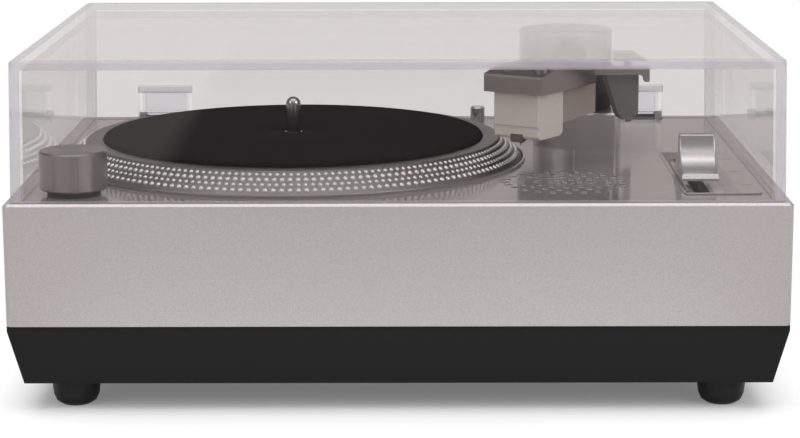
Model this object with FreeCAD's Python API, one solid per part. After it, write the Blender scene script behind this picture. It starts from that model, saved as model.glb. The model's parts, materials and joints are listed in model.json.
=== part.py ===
"""A small belt-driven turntable with a clear hinged dust cover, as an assembly of separate pieces.

Millimetres. X to the right, Y to the back, Z up. The origin is on the ground, in the middle of the feet.
Heights of what stands on the deck are given above the deck's top face, which lies at deck_z.
"""
import FreeCAD, Part
import math
import os

V = FreeCAD.Vector

# Plinth: silver band, black tray, feet
plinth_width = 251.0
plinth_depth = 184.0
band_height = 39.8
tray_height = 20.2
foot_height = 9.5
plinth_corner = 2.0
plinth_wall = 3.0
edge_bevel = 0.8
join = 0.5
head_play = 0.2
screw_play = 0.3
screw_slot_width = 0.6
screw_slot_depth = 0.5
rim_width = 5.3
deck_thick = 3.0
panel_gap = 0.3
tray_inset = 0.3
tray_lip = 1.7
tray_draft_side = 4.1
tray_draft_front = 5.4
tray_wall = 2.5
foot_radius = 7.8
foot_inset_x = 19.5
foot_inset_y = 18.0
foot_pin_radius = 2.0
foot_barb_radius = 3.0
foot_barb_height = 1.5
lug_length = 12.0
lug_reach = 5.0
lug_thick = 4.0
lug_y = 45.0
lug_places = [(-75.0, -1), (0.0, -1), (75.0, -1), (-60.0, 1), (0.0, 1), (60.0, 1)]
case_screw_radius = 1.7
case_boss_radius = 4.5
case_boss_inset_x = 19.5
case_boss_inset_y = 16.0
case_boss_spread = 34.0
case_boss_height = 12.0
case_screw_sink = 6.0
case_screw_bite = 8.0
case_head_radius = 3.0
case_head_height = 2.0

# Platter, mat, spindle and the well they turn in
platter_inset_x = 88.2
platter_y = -1.5
platter_margin = 11.4
platter_lip_low = 0.2
platter_lip_high = 0.8
cone_run = 8.3
ring_top = 7.6
platter_plate = 2.5
skirt_wall = 2.4
ring_width = 5.6
mat_thick = 1.8
mat_recess = 0.4
mat_bevel = 1.6
mat_gap = 0.2
mat_hole_gap = 0.4
mat_worn = 0.5
drum_inset = 20.6
drum_wall = 2.0
drum_low = -6.0
hub_radius = 8.0
hub_low = -5.0
spindle_radius = 2.65
spindle_shaft_radius = 3.0
spindle_top = 21.4
spindle_low = -30.0
well_gap = 0.5
well_wall = 1.5
well_depth = 9.0
bead_width = 0.7
bead_height = 0.8

# Main bearing
bearing_flange_radius = 16.0
bearing_flange_thick = 2.5
bearing_radius = 7.5
bush_radius = 4.5
ball_radius = 2.0
bearing_floor = 1.8
bearing_collar = 1.5
ball_room = 0.1
ball_lift = 0.05
bearing_screw_spread = 12.0
flange_screw_radius = 1.4
flange_screw_length = 4.4
flange_head_radius = 2.8
flange_head_height = 1.6
running_gap = 0.04
seat_gap = 0.02

# Motor, pulley and belt
motor_reach = 10.0
motor_angle = 135.0
motor_radius = 17.0
motor_height = 21.0
motor_round = 1.5
motor_boss_radius = 3.0
motor_boss_height = 0.6
motor_hole_radius = 3.2
motor_shaft_bite = 7.5
motor_plate_thick = 1.2
grommet_height = 2.0
grommet_radius = 3.6
ear_wall = 0.6
motor_screw_spread = 21.5
shaft_radius = 1.0
pulley_radius = 4.0
pulley_flange = 0.8
pulley_flange_thick = 0.5
pulley_hole_gap = 3.0
belt_width = 4.0
belt_thick = 0.8
belt_top = -1.4
belt_gap = 0.15

# Loudspeaker and its grille
grille_gap = 25.16
grille_angle = -29.483
grille_pitch = 4.87
grille_rings = 4
grille_hole_radius = 1.2
speaker_radius = 22.0
speaker_depth = 13.0
magnet_radius = 13.0
magnet_height = 7.0
frame_rim = 2.4
frame_sheet = 1.4
cone_thick = 0.8
cone_depth = 9.0
cone_throat = 6.0
dust_cap_radius = 5.4

# Volume knob
knob_inset_x = 20.4
knob_inset_y = 19.0
knob_radius = 11.0
knob_ring_radius = 8.6
knob_ring_height = 1.5
knob_lift = 1.8
knob_height = 12.7
knob_bevel = 0.5
knob_wall = 1.6
knob_hub_wall = 2.0
knob_bore = 7.0
knob_cavity = 8.5
knob_hub_low = 0.6
knob_line_depth = 0.25
knob_line_top = 1.2
knob_line_angle = -75.0
knob_line_width = 0.7
pot_bushing_radius = 3.5
pot_shaft_radius = 3.0
pot_shaft_step = 0.5
pot_shaft_low = 4.5
pot_body_radius = 8.0
pot_body_height = 7.0

# Pitch slider
bezel_inset_x = 7.9
bezel_inset_y = 15.3
bezel_width = 25.2
bezel_length = 79.8
bezel_proud = 0.5
bezel_flange = 1.2
bezel_deep = 4.0
bezel_corner = 1.5
bezel_bevel = 0.2
groove_inset = 0.7
groove_width = 17.4
groove_depth = 1.8
groove_slope_left = 2.4
groove_slope_right = 3.6
groove_slope_end = 3.0
slider_inset = 7.0
slot_width = 5.2
slider_rest = 27.7
slider_low = 14.7
slider_high = 64.0
cap_width = 12.1
cap_length = 25.0
cap_top = 15.0
cap_low = 1.6
cap_lip = 2.3
cap_crest = 2.6
cap_round = 0.7
cap_dome = 0.6
cap_foot_run = 1.2
cap_lip_edge = 0.8
cap_hollow = 1.5
stem_width = 4.0
stem_thick = 1.2
stem_rise = 7.0
stem_deep = 3.5
stem_play = 0.1
slide_pot_width = 9.0
slide_pot_height = 7.0
slide_window_width = 2.4
slide_window_inset = 2.5
slide_window_depth = 1.5
tick_depth = 0.2
tick_width = 0.5
tick_length = 4.6

# Tonearm
arm_reach = 22.09
arm_angle = 17.571
pedestal_dx = 4.3
pedestal_dy = -2.1
pedestal_radius = 16.0
pedestal_height = 13.2
pedestal_edge = 0.7
pedestal_block_dx = 1.4
pedestal_block_dy = -18.2
pedestal_block_width = 16.6
pedestal_block_round = 1.6
arm_gap = 0.3
neck_radius = 17.0
pillar_radius = 16.8
pillar_low = 29.5
neck_floor = 25.2
neck_edge = 0.5
pillar_top = 41.8
pillar_wall = 2.5
arm_stud_radius = 7.0
arm_stud_low = -10.0
arm_bush_radius = 5.5
arm_shaft_radius = 4.0
arm_shaft_low = -19.0
arm_nut_radius = 9.5
arm_nut_height = 4.0
clip_groove = 1.2
clip_thick = 1.1
clip_step = 0.8
clip_rim = 2.0
tube_z = 32.0
tube_radius = 4.2
tube_bore = 3.2
slot_half = 6.8
slot_low = 25.6
lift_pin_radius = 1.5
lift_block_width = 12.0
lift_block_length = 13.0
lift_block_height = 11.0
tongue_start = 26.0
tongue_half = 5.0
tongue_thick = 5.0
lead_hole_radius = 1.7
lead_hole_back = 9.5
lead_spread = 0.8
lead_bend = 1.6
lead_gap = 0.2
pin_length = 2.0
lead_radius = 0.35
headshell_dx = -22.55
headshell_dy = -73.35
headshell_yaw = 33.0
headshell_width = 22.5
headshell_length = 38.5
headshell_low = 28.3
headshell_top = 36.2
headshell_nose = 34.2
headshell_nose_run = 14.0
headshell_wall = 1.4
part_bevel = 0.3
headshell_roof = 2.0
headshell_nose_bevel = 0.5
clamp_screw_s = 31.5
clamp_screw_c = 3.0
cartridge_width = 17.5
cartridge_low = 12.6
cartridge_nose = 2.7
cartridge_front_length = 16.7
cartridge_front_wall = 2.6
cartridge_body_width = 17.0
cartridge_body_low = 16.6
cartridge_body_end = 42.6
cartridge_body_top = 27.5
cartridge_neck_end = 24.0
cartridge_skin = 0.9
terminal_length = 3.4
pin_spread = 4.2
stylus_back = 3.0
stylus_tip_z = 9.9
stylus_width = 4.6
screw_spread = 12.7
screw_s = 8.5
cartridge_screw_radius = 1.3
cartridge_screw_head = 2.6
cartridge_screw_length = 5.2
cartridge_screw_cap = 1.2
lift_tab_dx = 25.8
lift_tab_depth = 6.5
lift_tab_low = 31.2
lift_tab_thick = 2.3
lift_tab_lip = 2.4
paddle_dx = 9.9
paddle_width = 12.5
paddle_bevel = 1.4
paddle_low = 15.4
paddle_thick = 1.8
paddle_slant = 4.6

# Arm rest and cue lift
bracket_dx = 18.6
bracket_dy = -3.9
bracket_bends = [(19.0, -13.9), (10.9, -20.9)]
bracket_pin_radius = 1.2
bracket_low = 21.0
bracket_thick = 2.6
bracket_width = 3.2
bracket_pin_sink = 4.0
rest_dy = -24.5
rest_depth = 3.0
rest_reach = 4.0
rest_prong_dx = 4.5
rest_prong_width = 1.6
rest_prong_top = 31.0
cue_radius = 21.6
cue_bar_width = 2.8
cue_bar_thick = 2.2
cue_pin_radius = 1.1
cue_pin_angle = -76.0
cue_bar_first = -72.0
cue_bar_last = -142.0
cue_boss_radius = 2.3
cue_axle_dy = -8.5
cue_axle_z = 11.0
cue_axle_radius = 1.2
cue_hub_radius = 2.3
cue_lever_dx = 21.1
cue_lever_thick = 2.4
cue_handle_dx = 17.3
cue_handle_length = 8.1
cue_handle_slope = 3.4
cue_handle_dy = -3.5
cue_handle_low = 30.6
cue_handle_top = 33.6
cue_handle_depth = 8.0

# Small post at the back
peg_x = 30.0
peg_inset_y = 14.0
peg_radius = 2.8
peg_height = 6.0
peg_stud_radius = 1.5

# Dust cover and hinges
cover_inset_x = 2.4
cover_draft = 1.0
cover_front = 1.2
cover_back = 2.8
cover_height = 45.4
cover_side = 3.7
cover_roof = 2.9
cover_corner = 2.2
cover_corner_inside = 1.0
cover_edge = 0.9
cover_gap = 0.3
hinge_inset_x = 34.0
socket_width = 21.0
socket_height = 13.4
socket_depth = 5.0
socket_wall = 1.6
socket_roof = 2.4
hinge_notch_depth = 4.0
hinge_notch_run = 10.2
hinge_notch_width = 22.0
hinge_plate = 1.0
hinge_shelf = 4.0
small_screw_radius = 0.98
small_screw_length = 4.7
small_head_radius = 2.2
small_head_height = 1.4
hinge_screw_inset = 6.5
hinge_screw_spread = 8.0
hinge_ear = 2.6
hinge_knuckle_radius = 2.4
hinge_pin_radius = 1.2
blade_thick = 1.6
blade_gap = 0.25

# Electronics and sockets
board_length = 88.0
board_width = 52.0
board_thick = 1.6
board_inset_x = 73.5
board_inset_y = 62.0
board_hole_inset = 4.0
capacitor_pitch = 10.0
capacitor_radius = 3.4
capacitor_height = 11.0
chip_height = 1.6
heat_sink_height = 14.0
coil_radius = 6.0
coil_height = 7.0
plug_pitch = 22.0
plug_height = 6.0
board_post = 7.0
board_post_radius = 3.0
socket_z = 17.0
audio_socket_x = 20.0
audio_socket_pitch = 14.0
audio_socket_radius = 4.2
audio_bore_radius = 1.8
audio_bore_depth = 14.0
power_socket_x = -20.0
power_bore_radius = 2.8
power_bore_depth = 9.5
power_pin_radius = 1.0
power_socket_radius = 4.6
socket_body = 13.0
socket_back_gap = 0.2

# Worked out from the values above
platter_x = -plinth_width / 2 + platter_inset_x
platter_radius = plinth_depth / 2 - platter_margin
ring_radius = platter_radius - cone_run
mat_radius = ring_radius - ring_width
drum_radius = platter_radius - drum_inset
motor_distance = drum_radius + motor_reach
well_radius = platter_radius + well_gap
board_x = plinth_width / 2 - board_inset_x
board_y = plinth_depth / 2 - board_inset_y
foot_x = plinth_width / 2 - foot_inset_x
foot_y = plinth_depth / 2 - foot_inset_y
knob_x = -plinth_width / 2 + knob_inset_x
knob_y = -plinth_depth / 2 + knob_inset_y
bezel_right = plinth_width / 2 - bezel_inset_x
bezel_left = bezel_right - bezel_width
bezel_front = -plinth_depth / 2 + bezel_inset_y
bezel_back = bezel_front + bezel_length
groove_left = bezel_left + groove_inset
groove_right = groove_left + groove_width
slider_x = bezel_left + slider_inset
slider_rest_y = bezel_front + slider_rest
slider_low_y = bezel_front + slider_low
slider_high_y = bezel_front + slider_high
peg_y = plinth_depth / 2 - peg_inset_y
cover_width = plinth_width - 2 * cover_inset_x
cover_depth = plinth_depth - cover_front - cover_back
hinge_x = plinth_width / 2 - hinge_inset_x
tray_floor_z = foot_height
band_z = foot_height + tray_height
deck_z = band_z + band_height
deck_low = deck_z - deck_thick
well_floor = deck_z - well_depth
well_under = well_floor - well_wall
cover_y0 = -plinth_depth / 2 + cover_front
cover_y1 = cover_y0 + cover_depth
cover_z0 = deck_z + cover_gap
cover_z1 = deck_z + cover_height
plate_x = plinth_width / 2 - rim_width - panel_gap
plate_y = plinth_depth / 2 - rim_width - panel_gap
motor_x = platter_x + motor_distance * math.cos(math.radians(motor_angle))
motor_y = platter_y + motor_distance * math.sin(math.radians(motor_angle))
grille_x = platter_x + (well_radius + grille_gap) * math.cos(math.radians(grille_angle))
grille_y = platter_y + (well_radius + grille_gap) * math.sin(math.radians(grille_angle))
arm_x = platter_x + (platter_radius + arm_reach) * math.cos(math.radians(arm_angle))
arm_y = platter_y + (platter_radius + arm_reach) * math.sin(math.radians(arm_angle))
pedestal_x = arm_x + pedestal_dx
pedestal_y = arm_y + pedestal_dy
headshell_front_x = arm_x + headshell_dx
headshell_front_y = arm_y + headshell_dy
lift_tab_right = arm_x + lift_tab_dx
paddle_left = arm_x + paddle_dx
paddle_right = paddle_left + paddle_width
bracket_x = arm_x + bracket_dx
bracket_y = arm_y + bracket_dy
rest_y = arm_y + rest_dy
rest_left = arm_x - rest_reach
rest_prong = arm_x + rest_prong_dx
cue_axle_y = arm_y + cue_axle_dy
cue_lever_left = arm_x + cue_lever_dx
cue_handle_left = arm_x + cue_handle_dx
cue_handle_right = cue_handle_left + cue_handle_length
cue_handle_tip = cue_handle_right + cue_handle_slope
cue_handle_y = arm_y + cue_handle_dy
tube_level = deck_z + tube_z
yaw = math.radians(headshell_yaw)
along = V(math.sin(yaw), math.cos(yaw), 0)
across = V(math.cos(yaw), -math.sin(yaw), 0)
case_boss_x = plinth_width / 2 - case_boss_inset_x
case_boss_y = plinth_depth / 2 - case_boss_inset_y
case_bosses = [(sx * case_boss_x, sy * case_boss_spread) for sx in (-1, 1) for sy in (-1, 1)]
case_bosses += [(0.0, -case_boss_y), (0.0, case_boss_y)]


def box(x0, x1, y0, y1, z0, z1):
    """A block between two corners."""
    return Part.makeBox(x1 - x0, y1 - y0, z1 - z0, V(x0, y0, z0))


def rod(x, y, z0, z1, radius):
    """An upright cylinder."""
    return Part.makeCylinder(radius, z1 - z0, V(x, y, z0))


def pipe(x, y, z0, z1, outer, inner):
    """An upright ring."""
    return rod(x, y, z0, z1, outer).cut(rod(x, y, z0 - 1, z1 + 1, inner))


def lying(point, direction, length, radius):
    """A cylinder along any direction."""
    return Part.makeCylinder(radius, length, point, direction)


def turned(x, y, z, profile):
    """A solid turned about the upright axis at x, y from (radius, height) points."""
    points = [V(x + radius, y, z + height) for radius, height in profile]
    face = Part.Face(Part.makePolygon(points + points[:1]))
    return face.revolve(V(x, y, 0), V(0, 0, 1), 360)


def prism(points, direction):
    """A solid from a flat outline pushed along a direction."""
    return Part.Face(Part.makePolygon(points + points[:1])).extrude(direction)


def upright_edges(shape):
    """The edges that run straight up."""
    found = []
    for edge in shape.Edges:
        ends = edge.Vertexes
        if len(ends) == 2:
            run = ends[1].Point - ends[0].Point
            if abs(run.x) + abs(run.y) < 1e-6 and abs(run.z) > 1e-6:
                found.append(edge)
    return found


def level_edges(shape, z):
    """The edges that lie at one height."""
    return [edge for edge in shape.Edges
            if edge.BoundBox.ZLength < 1e-6 and abs(edge.BoundBox.ZMin - z) < 1e-6]


def rounded_block(x0, x1, y0, y1, z0, z1, radius):
    """A block with rounded upright edges."""
    block = box(x0, x1, y0, y1, z0, z1)
    return block.makeFillet(radius, upright_edges(block))


def leaning_block(half, slope, y0, y1, z0, z1, radius):
    """A block with rounded corners whose left and right sides lean inwards by a slope."""
    high = half - slope * (z1 - z0)
    points = [V(-half, y0, z0), V(half, y0, z0), V(high, y0, z1), V(-high, y0, z1)]
    block = prism(points, V(0, y1 - y0, 0))
    rising = [edge for edge in block.Edges if edge.BoundBox.ZLength > (z1 - z0) / 2]
    return block.makeFillet(radius, rising)


def fuse(first, *others):
    """One clean solid from several."""
    return first.multiFuse(list(others)).removeSplitter()


def shell_point(s, c, z):
    """A place on the headshell: s back from its front edge, c to its right, z above the deck."""
    start = V(headshell_front_x, headshell_front_y, deck_z + z)
    return start + along * s + across * c


def shell_block(s0, s1, c0, c1, z0, z1):
    """A block that lies square to the headshell."""
    corners = [shell_point(s0, c0, z0), shell_point(s0, c1, z0), shell_point(s1, c1, z0),
               shell_point(s1, c0, z0)]
    return prism(corners, V(0, 0, z1 - z0))


def shell_side(profile, c0, c1):
    """A headshell piece with one side outline of (s, z) points, from c0 to c1 across."""
    points = [shell_point(s, c0, z) for s, z in profile]
    return prism(points, across * (c1 - c0))


def plinth_shell():
    """The silver band: four walls, a rim round the deck, lugs under it and shelves for the hinges."""
    half_x = plinth_width / 2
    half_y = plinth_depth / 2
    shell = rounded_block(-half_x, half_x, -half_y, half_y, band_z, deck_z, plinth_corner)
    shell = shell.makeChamfer(edge_bevel, level_edges(shell, deck_z))
    inside_x = half_x - plinth_wall
    inside_y = half_y - plinth_wall
    shell = shell.cut(box(-inside_x, inside_x, -inside_y, inside_y, band_z - 1, deck_low))
    rim_x = half_x - rim_width
    rim_y = half_y - rim_width
    shell = shell.cut(box(-rim_x, rim_x, -rim_y, rim_y, deck_low - 1, deck_z + 1))
    extra = []
    lug_z = deck_low - lug_thick
    for x, side in lug_places:
        y0, y1 = sorted((side * (inside_y + join), side * (inside_y - lug_reach)))
        extra.append(box(x - lug_length / 2, x + lug_length / 2, y0, y1, lug_z, deck_low))
    for y in (-lug_y, lug_y):
        for side in (-1, 1):
            x0, x1 = sorted((side * (inside_x + join), side * (inside_x - lug_reach)))
            extra.append(box(x0, x1, y - lug_length / 2, y + lug_length / 2, lug_z, deck_low))
    shelf_z = deck_z - hinge_notch_depth
    for side in (-1, 1):
        x = side * hinge_x
        extra.append(box(x - hinge_notch_width / 2 - 1, x + hinge_notch_width / 2 + 1,
                         half_y - hinge_notch_run - 2, inside_y + join, shelf_z - hinge_shelf, shelf_z))
    for x, y in case_bosses:
        reach_x = math.copysign(inside_x + join, x) if x else 0.0
        reach_y = math.copysign(inside_y + join, y)
        if x:
            x0, x1 = sorted((x - math.copysign(case_boss_radius, x), reach_x))
            extra.append(box(x0, x1, y - case_boss_radius, y + case_boss_radius, band_z,
                             band_z + case_boss_height))
        else:
            y0, y1 = sorted((y - math.copysign(case_boss_radius, y), reach_y))
            extra.append(box(-case_boss_radius, case_boss_radius, y0, y1, band_z,
                             band_z + case_boss_height))
    shell = fuse(shell, *extra)
    for x, y in case_bosses:
        shell = shell.cut(rod(x, y, band_z - 1, band_z + case_screw_bite + 2, case_screw_radius))
    for side in (-1, 1):
        x = side * hinge_x
        shell = shell.cut(box(x - hinge_notch_width / 2, x + hinge_notch_width / 2,
                              half_y - hinge_notch_run, half_y + 1, shelf_z, deck_z + 1))
    for x, y in hinge_screw_places():
        shell = shell.cut(rod(x, y, shelf_z - 6, shelf_z + 1, small_screw_radius + seat_gap))
    for x, radius in socket_places():
        shell = shell.cut(lying(V(x, half_y - plinth_wall - 1, band_z + socket_z), V(0, 1, 0),
                                plinth_wall + 2, radius + seat_gap))
    return shell


def socket_places():
    """The round sockets in the back wall: place along X and outer radius."""
    places = [(power_socket_x, power_socket_radius)]
    for side in (-0.5, 0.5):
        places.append((audio_socket_x + side * audio_socket_pitch, audio_socket_radius))
    return places


def deck_plate():
    """The glossy top panel with the platter's well, the grille and the cut-outs of the controls."""
    plate = box(-plate_x, plate_x, -plate_y, plate_y, deck_low, deck_z)
    cup = rod(platter_x, platter_y, well_under, deck_low + 1, well_radius + well_wall)
    bead = rod(platter_x, platter_y, deck_low, deck_z + bead_height, well_radius + bead_width)
    plate = fuse(plate, cup, bead)
    plate = plate.cut(rod(platter_x, platter_y, well_floor, deck_z + 5, well_radius))
    plate = plate.cut(rod(platter_x, platter_y, well_under - 1, well_floor + 1, bearing_radius + seat_gap))
    plate = plate.cut(rod(motor_x, motor_y, well_under - 1, well_floor + 1,
                          pulley_radius + pulley_hole_gap))
    plate = plate.cut(rod(knob_x, knob_y, deck_low - 1, deck_z + 1, pot_bushing_radius + seat_gap))
    holes = []
    for ring in range(grille_rings + 1):
        count = max(1, 6 * ring)
        for index in range(count):
            angle = 2 * math.pi * index / count
            holes.append(rod(grille_x + ring * grille_pitch * math.cos(angle),
                             grille_y + ring * grille_pitch * math.sin(angle),
                             deck_low - 1, deck_z + 1, grille_hole_radius))
    plate = plate.cut(Part.makeCompound(holes))
    plate = plate.cut(box(bezel_left + bezel_flange, bezel_right - bezel_flange,
                          bezel_front + bezel_flange, bezel_back - bezel_flange, deck_low - 1, deck_z + 1))
    plate = plate.cut(rod(arm_x, arm_y, deck_low - 1, deck_z + 1, arm_stud_radius + seat_gap))
    for x, y in bearing_places() + motor_places():
        plate = plate.cut(rod(x, y, well_under - 1, well_floor + 1, flange_screw_radius + seat_gap))
    plate = plate.cut(rod(peg_x, peg_y, deck_low - 1, deck_z + 1, peg_stud_radius + seat_gap))
    for side in (-1, 1):
        x = side * hinge_x
        plate = plate.cut(box(x - hinge_notch_width / 2, x + hinge_notch_width / 2,
                              plinth_depth / 2 - hinge_notch_run, plinth_depth / 2, deck_low - 5, deck_z + 1))
    return plate


def base_tray():
    """The black lower tray: an upright lip, walls that lean in, a floor and its screw bosses."""
    x0 = plinth_width / 2 - tray_inset
    y0 = plinth_depth / 2 - tray_inset
    x1 = x0 - tray_draft_side
    y1 = y0 - tray_draft_front
    lip_z = band_z - tray_lip

    def hollow(inset, low, high):
        top = [V(sx * (x0 - inset), sy * (y0 - inset), high) for sx,
               sy in ((-1, -1), (1, -1), (1, 1), (-1, 1))]
        foot = [V(sx * (x1 - inset), sy * (y1 - inset), low) for sx,
                sy in ((-1, -1), (1, -1), (1, 1), (-1, 1))]
        wires = [Part.makePolygon(points + points[:1]) for points in (foot, top)]
        return Part.makeLoft(wires, True, True)

    outer = fuse(hollow(0, tray_floor_z, lip_z), box(-x0, x0, -y0, y0, lip_z, band_z))
    inner = hollow(tray_wall, tray_floor_z + tray_wall, lip_z)
    inner = inner.fuse(box(-x0 + tray_wall, x0 - tray_wall, -y0 + tray_wall, y0 - tray_wall, lip_z,
                           band_z + 1))
    tray = outer.cut(inner)
    bosses = [rod(x, y, tray_floor_z + 1, band_z, case_boss_radius) for x, y in case_bosses]
    posts = [rod(x, y, tray_floor_z + 1, tray_floor_z + tray_wall + board_post, board_post_radius) for x,
             y in board_holes()]
    tray = fuse(tray, *(bosses + posts))
    for x, y in case_bosses:
        tray = tray.cut(rod(x, y, tray_floor_z - 1, band_z + 1, case_screw_radius + screw_play))
        tray = tray.cut(rod(x, y, tray_floor_z - 1, tray_floor_z + case_screw_sink,
                            case_head_radius + head_play))
    for x, y in board_holes():
        tray = tray.cut(rod(x, y, tray_floor_z + tray_wall + 1, tray_floor_z + tray_wall + board_post + 1,
                            1.0))
    for x, y in foot_places():
        tray = tray.cut(rod(x, y, tray_floor_z - 1, tray_floor_z + tray_wall + 1,
                            foot_pin_radius + seat_gap))
    return tray


def foot_places():
    """The four feet."""
    return [(sx * foot_x, sy * foot_y) for sx in (-1, 1) for sy in (-1, 1)]


def board_holes():
    """The four screws of the circuit board."""
    return [(board_x + sx * (board_length / 2 - board_hole_inset),
             board_y + sy * (board_width / 2 - board_hole_inset))
            for sx in (-1, 1) for sy in (-1, 1)]


def rubber_feet():
    """Four domed feet with a barb through the tray's floor."""
    feet = []
    for x, y in foot_places():
        dome = turned(x, y, 0, [(0, 0), (foot_radius * 0.62, 0), (foot_radius * 0.84, foot_height * 0.12),
                                (foot_radius * 0.96, foot_height * 0.34),
                                (foot_radius, foot_height * 0.6),
                                (foot_radius, foot_height), (0, foot_height)])
        barb = rod(x, y, foot_height - 1, foot_height + tray_wall + join, foot_pin_radius)
        barb = barb.fuse(rod(x, y, foot_height + tray_wall, foot_height + tray_wall + foot_barb_height,
                             foot_barb_radius))
        feet.append(fuse(dome, barb))
    return feet


def pan_screw(x, y, z, length, radius, head_radius, head_height, up=True):
    """A screw with its head at z, its shank going up or down from there."""
    way = 1 if up else -1
    head = lying(V(x, y, z), V(0, 0, -way), head_height, head_radius)
    shank = lying(V(x, y, z - way * 0.2), V(0, 0, way), length + 0.2, radius)
    half = screw_slot_width / 2
    low, high = sorted((z - way * head_height, z - way * (head_height - screw_slot_depth)))
    slot = box(x - head_radius, x + head_radius, y - half, y + half, low, high)
    return fuse(head, shank).cut(slot)


def case_screws():
    """Six screws that hold the tray to the silver band."""
    start = tray_floor_z + case_screw_sink
    return [pan_screw(x, y, start, band_z + case_screw_bite - start, case_screw_radius - seat_gap,
                      case_head_radius, case_head_height) for x, y in case_bosses]


def platter():
    """The cast platter: flat ring, cone skirt, outer lip, drive drum and hub, with a recess for the mat."""
    under = ring_top - mat_recess - platter_plate + 0.4
    inner_lip = platter_radius - skirt_wall
    profile = [(spindle_shaft_radius + seat_gap, hub_low), (hub_radius, hub_low), (hub_radius, under),
               (drum_radius - drum_wall, under), (drum_radius - drum_wall, drum_low),
               (drum_radius, drum_low),
               (drum_radius, under), (ring_radius - 1.2, under), (inner_lip, platter_lip_low),
               (platter_radius, platter_lip_low), (platter_radius, platter_lip_high),
               (ring_radius, ring_top), (mat_radius + mat_gap, ring_top),
               (mat_radius + 0.2, ring_top - mat_recess),
               (spindle_shaft_radius + seat_gap, ring_top - mat_recess)]
    return turned(platter_x, platter_y, deck_z, profile)


def slip_mat():
    """The felt mat in the platter's recess, with an eased edge."""
    low = ring_top - mat_recess
    top = low + mat_thick
    profile = [(spindle_shaft_radius + mat_hole_gap, low), (mat_radius, low),
               (mat_radius, top - mat_worn),
               (mat_radius - mat_bevel * 0.4, top - 0.12), (mat_radius - mat_bevel, top),
               (spindle_shaft_radius + mat_hole_gap, top)]
    return turned(platter_x, platter_y, deck_z, profile)


def spindle():
    """The centre spindle: a shaft up to the mat's top face, then the thinner pin with its round end."""
    ball_z = deck_z + spindle_top - spindle_radius
    shoulder = deck_z + ring_top - mat_recess + mat_thick
    shaft = rod(platter_x, platter_y, deck_z + spindle_low, shoulder, spindle_shaft_radius)
    pin = rod(platter_x, platter_y, shoulder - 1, ball_z, spindle_radius)
    return fuse(shaft, pin, Part.makeSphere(spindle_radius, V(platter_x, platter_y, ball_z)))


def bearing_places():
    """The three screws of the bearing's flange."""
    places = []
    for index in range(3):
        angle = math.radians(120 * index + 90)
        places.append((platter_x + bearing_screw_spread * math.cos(angle),
                       platter_y + bearing_screw_spread * math.sin(angle)))
    return places


def bearing_housing():
    """The flanged tube under the well that holds the bush, closed below, with a seat for the ball."""
    seat = deck_z + spindle_low - 2 * ball_radius - 0.1
    body = rod(platter_x, platter_y, seat - bearing_floor, well_floor + bearing_collar, bearing_radius)
    flange = rod(platter_x, platter_y, well_under - bearing_flange_thick, well_under, bearing_flange_radius)
    body = fuse(body, flange)
    body = body.cut(rod(platter_x, platter_y, deck_z + spindle_low, well_floor + 5, bush_radius))
    body = body.cut(rod(platter_x, platter_y, seat, well_floor + 1, ball_radius + ball_room))
    for x, y in bearing_places():
        body = body.cut(rod(x, y, well_under - 5, well_under + 1, flange_screw_radius + seat_gap))
    return body


def bearing_bush():
    """The sintered bush that the spindle turns in."""
    return pipe(platter_x, platter_y, deck_z + spindle_low, well_floor + bearing_collar,
                bush_radius - seat_gap, spindle_shaft_radius + running_gap)


def bearing_ball():
    """The thrust ball under the spindle."""
    return Part.makeSphere(ball_radius, V(platter_x, platter_y,
                                          deck_z + spindle_low - ball_radius - ball_lift))


def flange_screws():
    """Six equal screws from below: three hold the bearing, three the motor's plate on its rubber rings."""
    low_a = well_under - bearing_flange_thick
    low_b = well_under - grommet_height - motor_plate_thick
    screws = [pan_screw(x, y, low_a, flange_screw_length, flange_screw_radius,
                        flange_head_radius, flange_head_height) for x, y in bearing_places()]
    screws += [pan_screw(x, y, low_b, flange_screw_length, flange_screw_radius,
                         flange_head_radius, flange_head_height) for x, y in motor_places()]
    return screws


def belt_loop(radius_a, radius_b, z0, z1):
    """The solid inside a belt's loop round the drum and the pulley."""
    swing = math.asin((radius_a - radius_b) / motor_distance)
    base = math.radians(motor_angle)
    points = []
    for side in (1, -1):
        angle = base + side * (math.pi / 2 - swing)
        points.append((V(platter_x + radius_a * math.cos(angle), platter_y + radius_a * math.sin(angle),
                         z0),
                       V(motor_x + radius_b * math.cos(angle), motor_y + radius_b * math.sin(angle), z0)))
    far = V(platter_x - radius_a * math.cos(base), platter_y - radius_a * math.sin(base), z0)
    tip = V(motor_x + radius_b * math.cos(base), motor_y + radius_b * math.sin(base), z0)
    edges = [Part.Arc(points[0][0], far, points[1][0]).toShape(),
             Part.LineSegment(points[1][0], points[1][1]).toShape(),
             Part.Arc(points[1][1], tip, points[0][1]).toShape(),
             Part.LineSegment(points[0][1], points[0][0]).toShape()]
    return Part.Face(Part.Wire(edges)).extrude(V(0, 0, z1 - z0))


def drive_belt():
    """The flat rubber belt round the platter's drum and the motor's pulley."""
    z1 = deck_z + belt_top
    z0 = z1 - belt_width
    inner_a = drum_radius + belt_gap
    inner_b = pulley_radius + belt_gap
    outer = belt_loop(inner_a + belt_thick, inner_b + belt_thick, z0, z1)
    return outer.cut(belt_loop(inner_a, inner_b, z0 - 1, z1 + 1))


def motor_places():
    """The motor's three fixing screws."""
    places = []
    for index in range(3):
        angle = math.radians(motor_angle + 120 * index + 60)
        places.append((motor_x + motor_screw_spread * math.cos(angle),
                       motor_y + motor_screw_spread * math.sin(angle)))
    return places


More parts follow.
